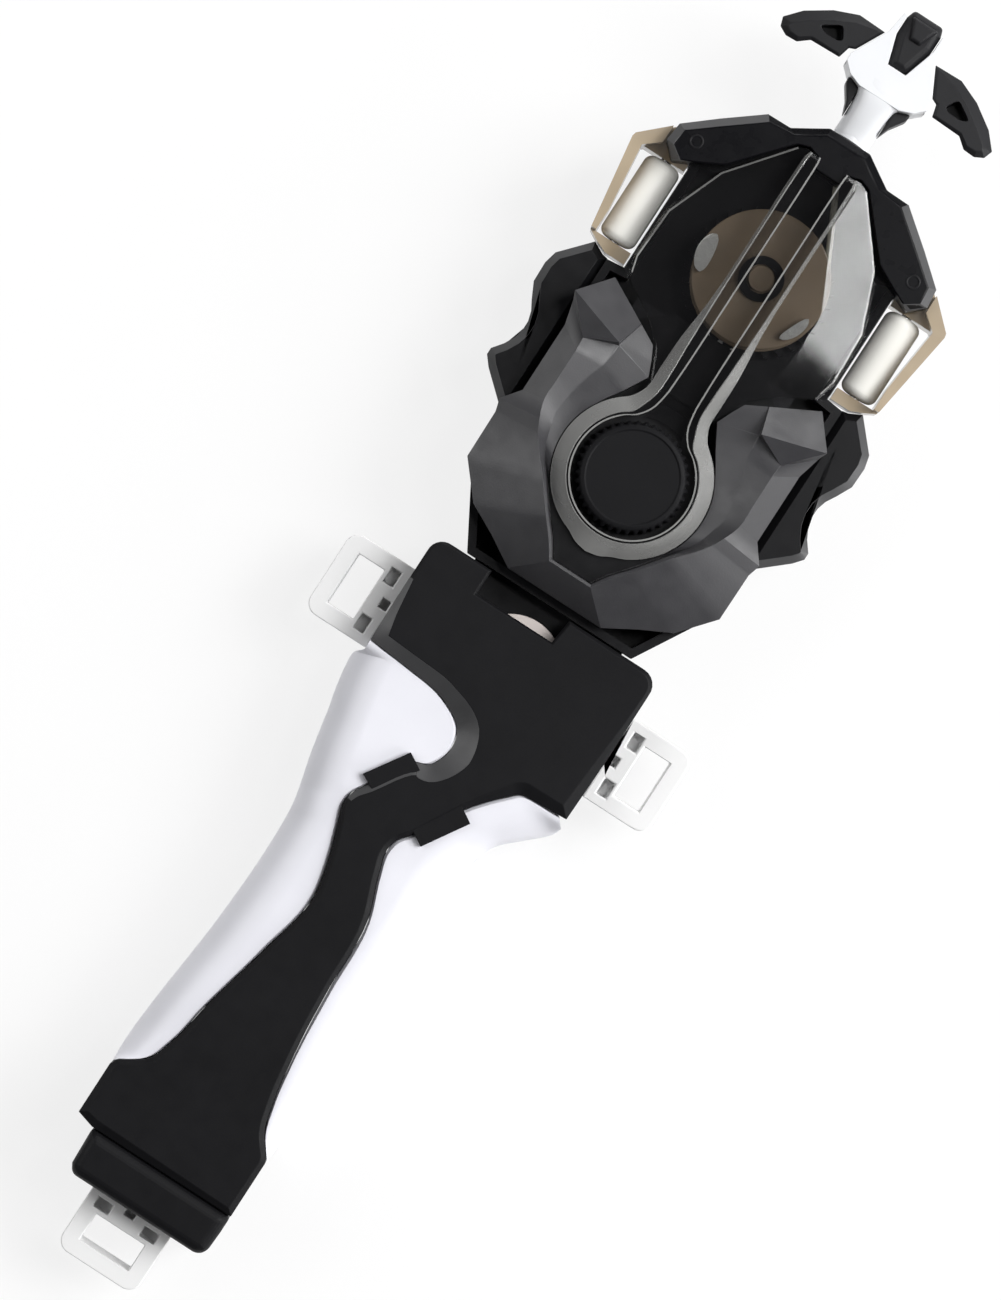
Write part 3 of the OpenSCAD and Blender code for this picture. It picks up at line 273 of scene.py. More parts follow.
def eased(points, steps, sharp=()):
    """Curve through points: between neighbours a cubic Hermite whose slopes weigh the chords on either side
    by their lengths. At a sharp point and at both ends the slope is the chord's own."""
    points = np.asarray(points, float)
    chord = np.diff(points, axis=0)
    gap = np.maximum(np.linalg.norm(chord.reshape(len(chord), -1), axis=1), 1e-9)
    shape = (-1,) + (1,) * (points.ndim - 1)
    rate = chord / gap.reshape(shape)
    before, after = gap[:-1].reshape(shape), gap[1:].reshape(shape)
    inner = (rate[:-1] * after + rate[1:] * before) / (before + after)
    leave = np.concatenate([rate[:1], inner])
    arrive = np.concatenate([inner, rate[-1:]])
    for i in sharp:
        if 0 < i < len(points) - 1:
            leave[i] = rate[i]
            arrive[i - 1] = rate[i - 1]
    t = (np.arange(steps) / steps).reshape((1, -1) + (1,) * (points.ndim - 1))
    h = gap.reshape((-1, 1) + (1,) * (points.ndim - 1))
    curve = (points[:-1, None] * (1 + 2 * t) * (1 - t) ** 2 + leave[:, None] * h * t * (1 - t) ** 2
             + points[1:, None] * t * t * (3 - 2 * t) - arrive[:, None] * h * t * t * (1 - t))
    return np.concatenate([curve.reshape((-1,) + points.shape[1:]), points[-1:]])


def mirrored(points):
    """Points on the +X side joined to their mirror image in reverse order."""
    points = np.asarray(points, float)
    turn = np.ones(points.shape[-1])
    turn[0] = -1.0
    return np.concatenate([points, points[::-1] * turn])


def grid_faces(rows, columns):
    """Quads of a grid of rows and columns whose last column joins its first."""
    r, c = np.meshgrid(np.arange(rows - 1), np.arange(columns), indexing="ij")
    n = (c + 1) % columns
    near, far = r * columns, (r + 1) * columns
    quads = np.stack([near + c, near + n, far + n, far + c], axis=-1)
    return quads.reshape(-1, 4).tolist()


def add_piece(name, points, faces, finish, body, slot, replaces=(), crease=32.0):
    """New piece from points in millimetres: merged, faced outwards, shaded smooth up to the crease angle."""
    mesh = bpy.data.meshes.new(name)
    mesh.from_pydata((np.asarray(points, float).reshape(-1, 3) * MM).tolist(), [], faces)
    shell = bmesh.new()
    shell.from_mesh(mesh)
    bmesh.ops.remove_doubles(shell, verts=shell.verts, dist=0.001 * MM)
    bmesh.ops.recalc_face_normals(shell, faces=shell.faces)
    shell.to_mesh(mesh)
    shell.free()
    mesh.shade_smooth()
    mesh.set_sharp_from_angle(angle=math.radians(crease))
    mesh.materials.append(finish_of(finish))
    piece = bpy.data.objects.new(name, mesh)
    bpy.context.scene.collection.objects.link(piece)
    if replaces:
        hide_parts(*replaces)
    if body:
        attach(piece, body)
    return piece


def loft(sections):
    """Points and faces of a solid through closed sections, an array of rows by points by 3."""
    sections = np.asarray(sections, float)
    rows, columns = sections.shape[:2]
    faces = grid_faces(rows, columns)
    faces.append(list(range(columns))[::-1])
    faces.append([(rows - 1) * columns + i for i in range(columns)])
    return sections.reshape(-1, 3), faces


def joined(*solids):
    """Points and faces of several closed solids as one."""
    points, faces, start = [], [], 0
    for part_points, part_faces in solids:
        points.append(np.asarray(part_points, float).reshape(-1, 3))
        faces += [[start + i for i in face] for face in part_faces]
        start += len(points[-1])
    return np.concatenate(points), faces


def both_sides(points, faces):
    """A solid on the +X side and its mirror image."""
    return joined((points, faces), (points * (-1, 1, 1), faces))


def inset(outline, depth):
    """Anticlockwise outline with each corner moved in along its mitre by a depth, one or one per point."""
    outline = np.asarray(outline, float)
    side = np.roll(outline, -1, axis=0) - outline
    side /= np.linalg.norm(side, axis=1)[:, None]
    face = np.stack([-side[:, 1], side[:, 0]], axis=1)
    mitre = face + np.roll(face, 1, axis=0)
    return outline + mitre * (2 * np.broadcast_to(depth, len(outline)) / (mitre * mitre).sum(axis=1))[:, None]


def at_height(outline, height):
    """Outline in the plane of a height, one or one per point."""
    return np.column_stack([outline, np.broadcast_to(height, len(outline))])


def slab(outline, low, high):
    """Upright solid over a closed outline between two heights."""
    return loft(np.stack([at_height(outline, low), at_height(outline, high)]))


def strip(outer, inner, thick):
    """Thin solid on a sloped face between two rows of points, raised along the face's normal."""
    outer, inner = np.asarray(outer, float), np.asarray(inner, float)
    face = np.cross(np.gradient(outer, axis=0), inner - outer)
    face *= np.sign(face[:, 2:]) * thick / np.linalg.norm(face, axis=1)[:, None]
    return loft(np.stack([outer - face, inner - face, inner + face, outer + face], axis=1))


# Heights of the launcher in millimetres: deck, cover edge, collar seat, cover lip, window and ridge.
DECK_Z, EDGE_Z, SEAT_Z, LIP_Z, WINDOW_Z, RIDGE_Z = 24.0, 29.0, 28.0, 31.5, 32.0, 35.0
SLOPE_Z = (RIDGE_Z + LIP_Z) / 2
COVER_WALL = 2.2
KNOB_AT = np.array([0.0, -20.2])
REEL_AT = np.array([0.0, 22.8])
COLLAR_R = 14.7
COLLAR_GAP = 0.3


def ring_points(radius, angles, centre=KNOB_AT):
    """Points on a circle at angles in degrees."""
    a = np.radians(np.asarray(angles, float))
    return np.stack([centre[0] + radius * np.cos(a), centre[1] + radius * np.sin(a)], axis=1)


def collar_edge(angle, height=LIP_Z):
    """Point on the cover's lip round the knob collar, at an angle in degrees."""
    return *ring_points(COLLAR_R + COLLAR_GAP, [angle])[0], height


def cover_surface():
    """Ridged cover: stations on each side, with an outer edge, a ridge, a shoulder, its foot and a lip.
    The lines along the stations are straight over the peaks and curve on round the knob."""
    front, back = (7.4, -3.4, WINDOW_Z - 0.4), LIP_Z - 1.6
    half = np.array([
        [(22.3, 8.6, 30.4), (18.2, 6.4, 31.2), (13.8, 4, 32.2), (13.6, 3.9, 32.1), (9.9, 1.9, WINDOW_Z)],
        [(27, 2.4, 35.4), (21.2, 0.6, 35.7), (15.2, -1.2, 36), (15, -1.3, 32.9), (8.6, -0.6, WINDOW_Z - 0.2)],
        [(27, 2.4, 35.4), (21.2, -3.9, 34), (15.2, -1.2, 36), (15, -1.3, 32.9), front],
        [(26.4, 0.9, 32), (21.2, -3.9, 34), (15.2, -1.2, 36), (15, -1.3, 32.9), front],
        [(26.4, 0.9, 32), (21.2, -3.9, 34), (15.1, -1.5, 33.2), (14.9, -1.6, 33), front],
        [(25.3, -3.5, EDGE_Z), (21, -6.5, 34.8), (15.6, -6, 33.4), (15.2, -6, 33.3), (9.9, -7.8, LIP_Z)],
        [(25.3, -8, EDGE_Z), (21, -9, RIDGE_Z), (17, -10, 33.4), (16.6, -10, 33.3), collar_edge(34)],
        [(25.3, -13, EDGE_Z), (21, -13, RIDGE_Z), (17.8, -14, SLOPE_Z), (17.4, -14, 33.1), collar_edge(18)],
        [(25.3, -17.5, EDGE_Z), (21, -17, RIDGE_Z), (18.2, -17.8, SLOPE_Z), (17.8, -17.8, 33),
         collar_edge(6)],
        [(28, -21, EDGE_Z), (19.8, -20.5, RIDGE_Z), (17.6, -21, 33), (17.2, -21, 32.6), collar_edge(-6)],
        [(27.3, -23.5, EDGE_Z), (18.5, -23, RIDGE_Z), (16.6, -24, 32.6), (16.2, -24, 31.8), collar_edge(-20)],
        [(27.2, -33, EDGE_Z), (13.6, -29, RIDGE_Z), (12.9, -29.1, 34.4), (12.6, -28.9, 30.2),
         collar_edge(-42, 30)],
        [(21.7, -39.5, EDGE_Z), (9.4, -34.4, RIDGE_Z), (8.9, -34.3, 34.6), (8.6, -34.1, 30),
         collar_edge(-58, back)],
        [(15.9, -42.5, EDGE_Z), (6.6, -37.8, RIDGE_Z), (6.2, -37.5, 34.6), (5.9, -37.3, 29.9),
         collar_edge(-72, back)],
        [(10, -46, EDGE_Z), (4.4, -41, RIDGE_Z), (4.2, -40.5, 34.6), (4, -40.3, 29.9), (2.8, -36.2, back)]])
    last = 2 * len(half) - 1
    peaks = {0, 1, 2, 3, 4, 5, len(half) - 1}
    sharp = peaks | {last - i for i in peaks}
    whole = [mirrored(half[:, k]) for k in range(5)]
    edge = eased(whole[0], 6, range(last + 1))
    ridge, shoulder, foot, lip = [eased(w, 6, sharp) for w in whole[1:]]
    inward = ridge[:, :2] - edge[:, :2]
    rim = edge[:, :2] + COVER_WALL * inward / np.linalg.norm(inward, axis=1)[:, None]
    under = np.minimum(ridge[:, 2] - COVER_WALL, foot[:, 2] - 1.2)
    rows = [at_height(edge[:, :2], DECK_Z), edge, ridge, shoulder, foot, lip, at_height(lip[:, :2], SEAT_Z),
            at_height(ridge[:, :2], under), at_height(rim, np.minimum(edge[:, 2] - COVER_WALL, under)),
            at_height(rim, DECK_Z)]
    return loft(np.stack(rows, axis=1))


def painted_shade_floor():
    """Black sheet of painted shade in the hollow behind the knob: a crescent between the ridges and the collar.
    """
    side = np.array([(13.2, -27.8), (12.3, -29), (8.4, -34.1), (5.7, -37.3), (3.9, -40.2)])
    return slab(np.concatenate([mirrored(side), ring_points(13.2, np.linspace(-152, -28, 24))]), 29.7, 30.3)


# Stations of the bezel from an arm's end to the midline, and the width and drop of its chamfer.
BEZEL_OUTER = np.array([(25.3, 32), (28, 34.6), (27.6, 38.2), (22, 42.9), (15, 48.4), (10.4, 48.5), (7, 50.6),
                        (4.3, 52.3), (2.5, 52.3)])
BEZEL_INNER = np.array([(22.3, 33.4), (21.6, 33.7), (19.6, 34.7), (16.6, 36.3), (11.2, 42.5), (7.6, 46.6),
                        (5.4, 47.3), (3.1, 46.6), (2.5, 44.4)])
BEZEL_CUT, BEZEL_DROP = 1.5, 1.6


def bezel_chamfer(outer, inner):
    """Lower and upper edge of the chamfer along the bezel's outer top edge."""
    across = inner - outer
    cut = outer + BEZEL_CUT * across / np.linalg.norm(across, axis=1)[:, None]
    return at_height(outer, WINDOW_Z - BEZEL_DROP), at_height(cut, WINDOW_Z)


def bezel_surface():
    """Bezel round the front of the window, through its stations, with a chamfer along its outer top edge."""
    outer, inner = mirrored(BEZEL_OUTER), mirrored(BEZEL_INNER)
    rows = [at_height(outer, DECK_Z), *bezel_chamfer(outer, inner), at_height(inner, WINDOW_Z),
            at_height(inner, DECK_Z)]
    return loft(np.stack(rows, axis=1))


def peg_surface():
    """Ring round a peg's end on each arm of the bezel: a small oval section turned about the peg."""
    steps, sides = 28, 8
    turns = [np.arange(count) * 2 * math.pi / count for count in (steps, sides)]
    a, b = np.meshgrid(*turns, indexing="ij")
    r = 1.15 + 0.22 * np.cos(b)
    ring = np.stack([r * np.cos(a), r * np.sin(a), WINDOW_Z + 0.14 * np.sin(b)], axis=-1)
    wrap = [[i % (steps * sides) for i in face] for face in grid_faces(steps + 1, sides)]
    return joined(*[(ring + (x, 37.0, 0), wrap) for x in (-23.3, 23.3)])


PANE_LOW = 30.0
FACET_FALL = 0.1


def pane_surface():
    """Window pane: stations from its front to its back, each with a flat middle, a side facet that falls away
    from the crease at FACET_FALL, a step down and a low margin."""
    crease = np.array([(3.3, 46.3), (5.7, 44.8), (5.7, 37.3), (12.7, 22.8), (12.7, 14), (12, 8.5), (10.6, 5),
                       (8.8, 1.7), (7.5, -1), (6.5, -3.8)])
    brow = np.array([(5.4, 46.9), (7.4, 46.2), (16.5, 34.9), (20.8, 24), (21.2, 14), (19.8, 9.6), (13.9, 6.3),
                     (9.4, 2.3), (8.1, -0.7), (6.7, -3.7)])
    margin = np.array([(5.4, 46.95), (7.45, 46.25), (22, 33.2), (22, 24), (22, 14), (22, 10.8), (14, 6.2),
                       (9.5, 2.2), (8.2, -0.8), (6.75, -3.75)])
    middle_y = np.array([44.1, 41, 36, 22.8, 14, 9, 5, 1.5, -1.2, -3.8])
    out = np.array([0.9, 0.435])
    fall = FACET_FALL * np.clip((brow - (5.7, 37.3)) @ out, 0, None)
    fall[4:] = (0.4, 0.2, 0.1, 0.1, 0.1, 0.1)
    step = np.array([0.1, 0.1, 1.4, 1.4, 1.4, 1.2, 0.1, 0.1, 0.1, 0.1])
    foot = brow + (margin - brow) * np.array([0.5, 0.5, 0.12, 0.5, 0.6, 0.3, 0.5, 0.5, 0.5, 0.5])[:, None]
    columns = [at_height(np.column_stack([np.full(10, x), middle_y]), WINDOW_Z) for x in (0.0, 2.45)]
    columns += [at_height(crease, WINDOW_Z), at_height(brow, WINDOW_Z - fall),
                at_height(foot, WINDOW_Z - fall - step), at_height(margin, WINDOW_Z - fall - step)]
    top = np.stack(columns, axis=1)
    low = top.copy()
    low[..., 2] = np.minimum(PANE_LOW, top[..., 2] - 0.8)
    left = np.array([-1.0, 1.0, 1.0])
    loop = np.concatenate([top, low[:, ::-1], (low * left)[:, 1:], (top * left)[:, :0:-1]], axis=1)
    skirt = np.array([(20.4, 12), (22, 12), (22, 33), (20.4, 33)])
    return joined(loft(loop), both_sides(*slab(skirt, DECK_Z, PANE_LOW - 0.6)))


RAIL_TOP = 34.5
RIM_FOOT, RIM_INNER_R, RIM_CROWN_R = 29.6, 11.3, 12.0
BAND_T, LINE_W = 0.12, 0.3


def rim_sections():
    """Sections of the clear rim: two rails down the pane that run on round the knob as a sloped collar. Each
    has an inner foot and edge, the outer edge of its flat top, and the top and foot of its outer side."""
    inner = [(2.8, 46.6), (2.65, 45.4), (2.6, 43), (2.6, 30), (2.6, 14), (2.6, 5), (2.7, -1), (2.95, -5),
             (3.8, -8.2)]
    crown = [(4.6, 46.6), (4.8, 45.4), (4.9, 43), (4.9, 30), (4.8, 14), (4.6, 5), (4.4, -1), (4.5, -5),
             (5.4, -7.9)]
    outer = [(4.9, 46.7), (5.3, 45.5), (5.4, 43), (5.4, 30), (5.6, 14), (6.4, 5), (6.5, -1), (6.6, -5),
             (7.8, -7.4)]
    turn = np.arange(54, -91, -9.0)
    inner = np.concatenate([inner, ring_points(RIM_INNER_R, np.concatenate([[62, 50], turn[2:]]))])
    crown = np.concatenate([crown, ring_points(RIM_CROWN_R, np.concatenate([[58, 47], turn[2:]]))])
    reach = COLLAR_R + np.interp(turn, (-90, -81, -72), (0.9, 0.6, 0.0))
    outer = np.concatenate([outer, ring_points(reach, turn)])
    station = np.arange(len(inner))
    high = np.interp(station, (0, 1, 2, 6, 10), (32.8, 34, RAIL_TOP, RAIL_TOP, 34.0))
    low = np.interp(station, (0, 7, 10), (31.9, 31.9, 31.5))
    foot = np.where(station < 7, 31.8, RIM_FOOT)
    section = np.stack([at_height(inner, foot), at_height(inner, high), at_height(crown, high),
                        at_height(outer, low), at_height(outer, foot)], axis=1)
    half = eased(section, 3)
    return np.concatenate([half, (half * (-1, 1, 1))[-2::-1]])


def rim_surface():
    """Clear rim through its sections, with a low web between the rails in front of the knob."""
    arc = ring_points(RIM_INNER_R, np.linspace(70, 110, 9))
    web = np.concatenate([[(2.7, -3.9), (3.6, -8.3)], arc, [(-3.6, -8.3), (-2.7, -3.9)]])
    return joined(loft(rim_sections()), slab(web, RIM_FOOT, 31.4))


def highlight_band_surface():
    """Light band of painted highlight on the rim's outer slope, raised along the slope's normal, and a thin
    line of painted highlight along the rim's inner edge."""
    section = rim_sections()
    inner, crown, outer = section[:, 1], section[:, 2], section[:, 3]
    down = outer - crown
    flat = np.linalg.norm(down[:, :2], axis=1)[:, None]
    face = np.concatenate([-down[:, 2:] * down[:, :2] / flat, flat], axis=1)
    face *= BAND_T / np.linalg.norm(face, axis=1)[:, None]
    lift = np.array([0.0, 0.0, BAND_T])
    band = np.stack([crown - face, outer - face, outer + face, crown + face], axis=1)
    across = crown - inner
    across *= LINE_W / np.linalg.norm(across, axis=1)[:, None]
    line = np.stack([inner - lift, inner + across - lift, inner + across + lift, inner + lift], axis=1)
    return joined(loft(band), loft(line))


def pane_highlight_lines():
    """Thin bright lines of painted highlight along the pane's brow, on both sides."""
    brow = np.array([(7.4, 46.2, 31.4), (16.5, 34.9, 31.05), (20.8, 24, 31.05), (21.2, 14, 31.6),
                     (20.4, 11, 31.7)])
    brow = eased(brow, 4, range(len(brow)))
    return both_sides(*strip(brow, brow + (-0.3, -0.15, 0.04), 0.05))


WING_CUT, STRIP_T = 1.4, 0.06


def highlight_strips():
    """Lighter strips of painted highlight on the chamfers of the bezel's arms and the wings, whose scoop is a
    quadratic curve.
    """
    t = np.linspace(0, 1, 7)[:, None]
    scoop = (1 - t) ** 2 * (34.4, -14) + 2 * t * (1 - t) * (29, -8) + t * t * (33, -2.5)
    wing = np.concatenate([[(25.5, -20.6), (27.3, -22), (33, -17), (34.4, -15.3)], scoop,
                           [(34.5, 0.5), (34.6, 4.5), (34, 7), (29, 12.6), (26.6, 11.4), (25.5, 11.2)]])
    upper = at_height(inset(wing, WING_CUT), DECK_Z)[1:-2]
    lower = at_height(wing, DECK_Z - WING_CUT)[1:-2]
    arm = bezel_chamfer(BEZEL_OUTER[:5], BEZEL_INNER[:5])
    return joined(both_sides(*strip(lower, upper, STRIP_T)), both_sides(*strip(*arm, STRIP_T)))


def crescent(start, end, inner, outer):
    """Crescent under the pane beside the reel, a white mark of painted reflection: between two angles and two
    radii, tapered to both ends.
    """
    steps = 17
    middle = ring_points((inner + outer) / 2, np.linspace(start, end, steps), REEL_AT)
    taper = np.sqrt(np.clip(1 - np.linspace(-1, 1, steps) ** 2, 0.01, None))[:, None]
    spoke = middle - REEL_AT
    half = spoke / np.linalg.norm(spoke, axis=1)[:, None] * taper * (outer - inner) / 2
    return slab(np.concatenate([middle + half, (middle - half)[::-1]]), PANE_LOW - 1.0, PANE_LOW)


def glint_crescents():
    """The two crescents of painted reflection, left of the reel and right of it."""
    return joined(crescent(168, 206, 9.7, 12.9), crescent(-40, -8, 10.3, 12.2))


def axle_cap():
    """Round cap over the reel's axle."""
    return slab(ring_points(2.3, np.arange(0, 360, 7.5), REEL_AT), 29.2, 29.55)


def shield_surface():
    """Black dust shield over the chuck's bearing, under the pane."""
    outline = np.array([(-16, -12), (16, -12), (16, 4), (9.5, 9.4), (-9.5, 9.4), (-16, 4)])
    return slab(outline, 23.1, 23.7)


def knob_surface():
    """Knob: a profile turned about its axis, whose rim waves in and out 40 times a turn."""
    count, knurls = 320, 40
    profile = np.array([(0.02, 29.9, 0), (9.7, 29.9, 0), (10.05, 30.2, 1), (10.05, 33, 1), (9.75, 33.5, 0.4),
                        (9.5, 34.05, 0), (9.2, 34.25, 0), (8.7, 34.3, 0), (8.4, 34.1, 0), (0.02, 34.1, 0)])
    angle = np.arange(count) * 2 * math.pi / count
    wave = 0.25 * np.clip(1.6 * np.cos(knurls * angle), -1, 1)
    radius = profile[:, None, 0] + profile[:, None, 2] * wave[None]
    rows = np.stack([radius * np.cos(angle), KNOB_AT[1] + radius * np.sin(angle),
                     np.broadcast_to(profile[:, None, 1], radius.shape)], axis=-1)
    return loft(rows)


HUB_Y, CORD_Z = 62.0, 24.1


def cord_surface():
    """Cord from the eyelet to the hub: rings along Y, each a circle with three lays that twist along it."""
    sides, lays, twist = 18, 3, 1.4
    along = np.linspace(51.5, HUB_Y, 43)[:, None]
    angle = np.arange(sides) * 2 * math.pi / sides
    radius = 0.56 + 0.05 * np.cos(lays * (angle - along * twist))
    return loft(np.stack([radius * np.cos(angle), np.broadcast_to(along, radius.shape),
                          CORD_Z + radius * np.sin(angle)], axis=-1))


def node_box(name):
    """Least and greatest corner of a frame node, in millimetres."""
    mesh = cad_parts[name].data
    points = np.empty(3 * len(mesh.vertices))
    mesh.vertices.foreach_get("co", points)
    points = points.reshape(-1, 3) / MM
    return points.min(axis=0), points.max(axis=0)


def coil_surface(low, high, wire, turns):
    """Coil spring that fills a box: a helix about the box's upright axis, with a round section."""
    steps, sides = 30, 10
    radius = (high[0] - low[0]) / 2 - wire
    angle = np.linspace(0, 2 * math.pi * turns, steps * turns + 1)[:, None]
    section = np.arange(sides) * 2 * math.pi / sides
    reach = radius + wire * np.cos(section)
    z = low[2] + wire + (high[2] - low[2] - 2 * wire) * angle / angle[-1] + wire * np.sin(section)
    middle = (low + high) / 2
    return loft(np.stack([middle[0] + reach * np.cos(angle), middle[1] + reach * np.sin(angle), z], axis=-1))


def add_spring(name, node, wire, turns):
    """Coil spring in place of a node, squeezed between the bodies at its lower and upper end."""
    low, high = node_box(node)
    spring = add_piece(name, *coil_surface(low, high, wire, turns), "steel", "", "steel", [node])
    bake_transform(spring)


BAR_LOW, BAR_HIGH, BAR_DRAFT, POCKET_DEPTH = 19.1, 29.1, 1.2, 4.0


def bar_surface():
    """Finger bar's two arms: an outline whose outer top edge is cut off by a wide chamfer, with a pocket sunk
    in its top. Each row holds one point for each corner of the outline."""
    arm = np.array([(8.25, 5), (9.4, 4.5), (10, 2.2), (16, 2), (18, 0.4), (20.3, 0.3), (22, 1.2), (22.6, 3),
                    (20, 6), (15.5, 9), (11, 10.8), (5.42, 10.5)]) + (0, HUB_Y)
    pocket = np.array([(11.2, 5.3), (11.3, 4.9), (11.9, 4.5), (14.2, 4.4), (14.7, 4.5), (15.2, 4.7),
                       (15.6, 4.95), (15.8, 5.2), (15.3, 5.7), (13, 7.1), (12.5, 7.15),
                       (12, 6.7)]) + (0, HUB_Y)
    cut = np.array([0.4, 0.4, 0.5, 0.6, 0.8, 1.0, 1.2, 1.7, 2.1, 2.1, 1.7, 0.5])
    rows = [at_height(inset(arm, BAR_DRAFT), BAR_LOW), at_height(arm, BAR_HIGH - 0.9 * cut),
            at_height(inset(arm, cut), BAR_HIGH), at_height(pocket, BAR_HIGH),
            at_height(pocket, BAR_HIGH - POCKET_DEPTH)]
    return both_sides(*loft(np.stack(rows)))


def neck_surface():
    """Neck that flares into the hub: superellipses along Y, round at the cord and flat on top at the hub."""
    stations = eased([(52.7, 3.4, 3.4, 2.2), (54.5, 3.5, 3.8, 2.4), (57, 3.6, 4.5, 2.8),
                      (59.5, 3.7, 5.1, 3.4), (61.3, 4.0, 5.4, 4.5), (62.6, 4.8, 5.5, 5),
                      (64.5, 6.0, 5.52, 5)], 5)
    a = np.linspace(0, 2 * math.pi, 48, endpoint=False)
    y, width, height, power = [stations[:, i:i + 1] for i in range(4)]
    x = width * np.sign(np.cos(a)) * np.abs(np.cos(a)) ** (2 / power)
    z = CORD_Z + height * np.sign(np.sin(a)) * np.abs(np.sin(a)) ** (2 / power)
    return loft(np.stack([x, np.broadcast_to(y, x.shape), z], axis=-1))


def cap_block():
    """Raised block on the handle's cap: a trapezoid with sloped sides."""
    outline = np.array([(2.7, 15.6), (-2.7, 15.6), (-1.1, 11.6), (1.1, 11.6)]) + (0, HUB_Y)
    rows = [at_height(outline, BAR_HIGH), at_height(outline, 29.7), at_height(inset(outline, 0.4), 30.5)]
    return loft(np.stack(rows))


# Stations of each side panel along the grip: a point on its outer edge and one on the core's edge.
THUMB_EDGE = np.array([
    [(-23.85, -72.5), (-23.85, -70.3)], [(-25.4, -74.2), (-15, -71.1)], [(-25.3, -77), (-6.8, -72.4)],
    [(-24.9, -79.6), (-1.8, -75.6)], [(-24.4, -82.2), (-0.8, -79.5)], [(-23.7, -85), (-2.3, -83.5)],
    [(-23, -88.6), (-4.8, -84.7)], [(-21.4, -96), (-9.8, -92.6)], [(-20.5, -99.4), (-11.5, -95.5)],
    [(-19.8, -102.4), (-11.8, -98)], [(-19.4, -106), (-10.3, -102.5)], [(-19.2, -111), (-8.8, -107)],
    [(-19.2, -117), (-7.1, -114.5)], [(-19.9, -131), (-9.3, -128)], [(-21.5, -148), (-12.8, -143)],
    [(-21.9, -155), (-14.3, -151)], [(-21.8, -158.4), (-16.3, -156)], [(-21.6, -159.9), (-20.9, -159.1)]])
FINGER_EDGE = np.array([
    [(23.9, -80.6), (22.4, -78.8)], [(22.8, -83), (14.8, -79.1)], [(19, -86.6), (12.3, -81.1)],
    [(15.4, -90.4), (7.9, -86.1)], [(13.9, -95), (4.6, -91.3)], [(13.2, -99), (1.4, -96.5)],
    [(13, -102), (-0.1, -98.5)], [(12.9, -104.6), (-0.6, -101)], [(13, -109), (0.4, -105)],
    [(13.2, -117), (3.4, -113.5)], [(13.4, -131), (4.3, -128)], [(13, -148), (5.7, -143)],
    [(12.5, -155), (7.1, -151)], [(12.1, -158.5), (8.7, -156)], [(11.9, -160.1), (11.3, -159.3)]])
EDGE_STEPS = 6
PANEL_LOW, PANEL_HIGH, PANEL_ROUND, SIDE_GAP = 1.5, 26.5, 8.0, 0.15


def panel_surface(edge):
    """Side panel: sections from its outer edge to the core, eased along the grip. The outer corners are
    quarter circles of up to PANEL_ROUND, and the inner edge turns over by a small chamfer."""
    line = eased(edge, EDGE_STEPS)
    outer, inner = line[:, 0], line[:, 1]
    across = inner - outer
    width = np.linalg.norm(across, axis=1)[:, None]
    across = across / width
    inner = inner - across * SIDE_GAP
    r = np.minimum(PANEL_ROUND, 0.85 * (width - SIDE_GAP))
    lip = np.minimum(0.5, 0.1 * width)
    a = np.radians(np.linspace(0, 90, 9))
    run = outer[:, None] + across[:, None] * (r * (1 - np.sin(a)))[..., None]
    path = np.concatenate([inner[:, None], (inner - across * lip)[:, None], run], axis=1)
    rise = np.concatenate([lip, np.zeros_like(lip), r * (1 - np.cos(a))], axis=1)
    under = np.concatenate([path, (PANEL_LOW + rise)[..., None]], axis=2)
    over = np.concatenate([path, (PANEL_HIGH - rise)[..., None]], axis=2)
    return loft(np.concatenate([under, over[:, ::-1]], axis=1))


GRIP_MID, GRIP_TOP, CORE_WALL = 14.0, 28.0, 2.0
THUMB_SPAN = slice(1, 50)


def core_outline():
    """Eased outline of the grip's core and the width of its top chamfer, widest along the thumb's curve.
    The close points next to the two front corners are left out, so that the chamfer doesn't cross itself."""
    thumb, finger = eased(THUMB_EDGE, EDGE_STEPS)[:, 1], eased(FINGER_EDGE, EDGE_STEPS)[::-1, 1]
    thumb_cut = np.interp(np.arange(len(thumb)) / EDGE_STEPS, (0, 1, 2, 3, 4, 5, 6, 7, 8.5),
                          (2.4, 2.6, 3.0, 4.0, 4.2, 3.2, 2.2, 1.4, 0.9))
    finger_cut = np.interp(np.arange(len(finger))[::-1] / EDGE_STEPS, (0, 1, 2, 3, 5),
                           (2.4, 2.4, 1.9, 1.2, 0.9))
    close = range(1, EDGE_STEPS)
    thumb, thumb_cut = np.delete(thumb, close, 0), np.delete(thumb_cut, close)
    finger, finger_cut = finger[:-EDGE_STEPS], finger_cut[:-EDGE_STEPS]
    left = [(-24, -51.5), (-24, -57), (-24, -64)]
    butt = [(-21.7, -160.6), (-21.7, -171), (-18.2, -172), (11.8, -172), (11.8, -160.6)]
    right = [(23.7, -78.5), (24, -66), (24, -58), (24, -52)]
    front = [(4.6, -48), (4, -53), (-12.2, -53), (-12.2, -48), (-20.6, -48)]
    corner_right = ring_points(3.2, np.linspace(10, 90, 6), (20.8, -51.2))
    corner_left = ring_points(3.0, np.linspace(100, 170, 6), (-21.0, -51.0))
    outline = np.concatenate([left, thumb, butt, finger, right, corner_right, front, corner_left])
    chamfer = np.concatenate([(0.5, 0.7, 1.6), thumb_cut, (1.0, 1.4, 1.6, 1.2, 1.0), finger_cut,
                              (2.0, 1.5, 0.9, 0.7), np.full(len(corner_right), 0.7),
                              (0.5, 0.4, 0.4, 0.4, 0.6), np.full(len(corner_left), 0.6)])
    return outline, chamfer


def core_edges():
    """Lower and upper edge of the core's chamfer."""
    outline, chamfer = core_outline()
    return at_height(outline, GRIP_TOP - 0.3 - 0.36 * chamfer), at_height(inset(outline, chamfer), GRIP_TOP)


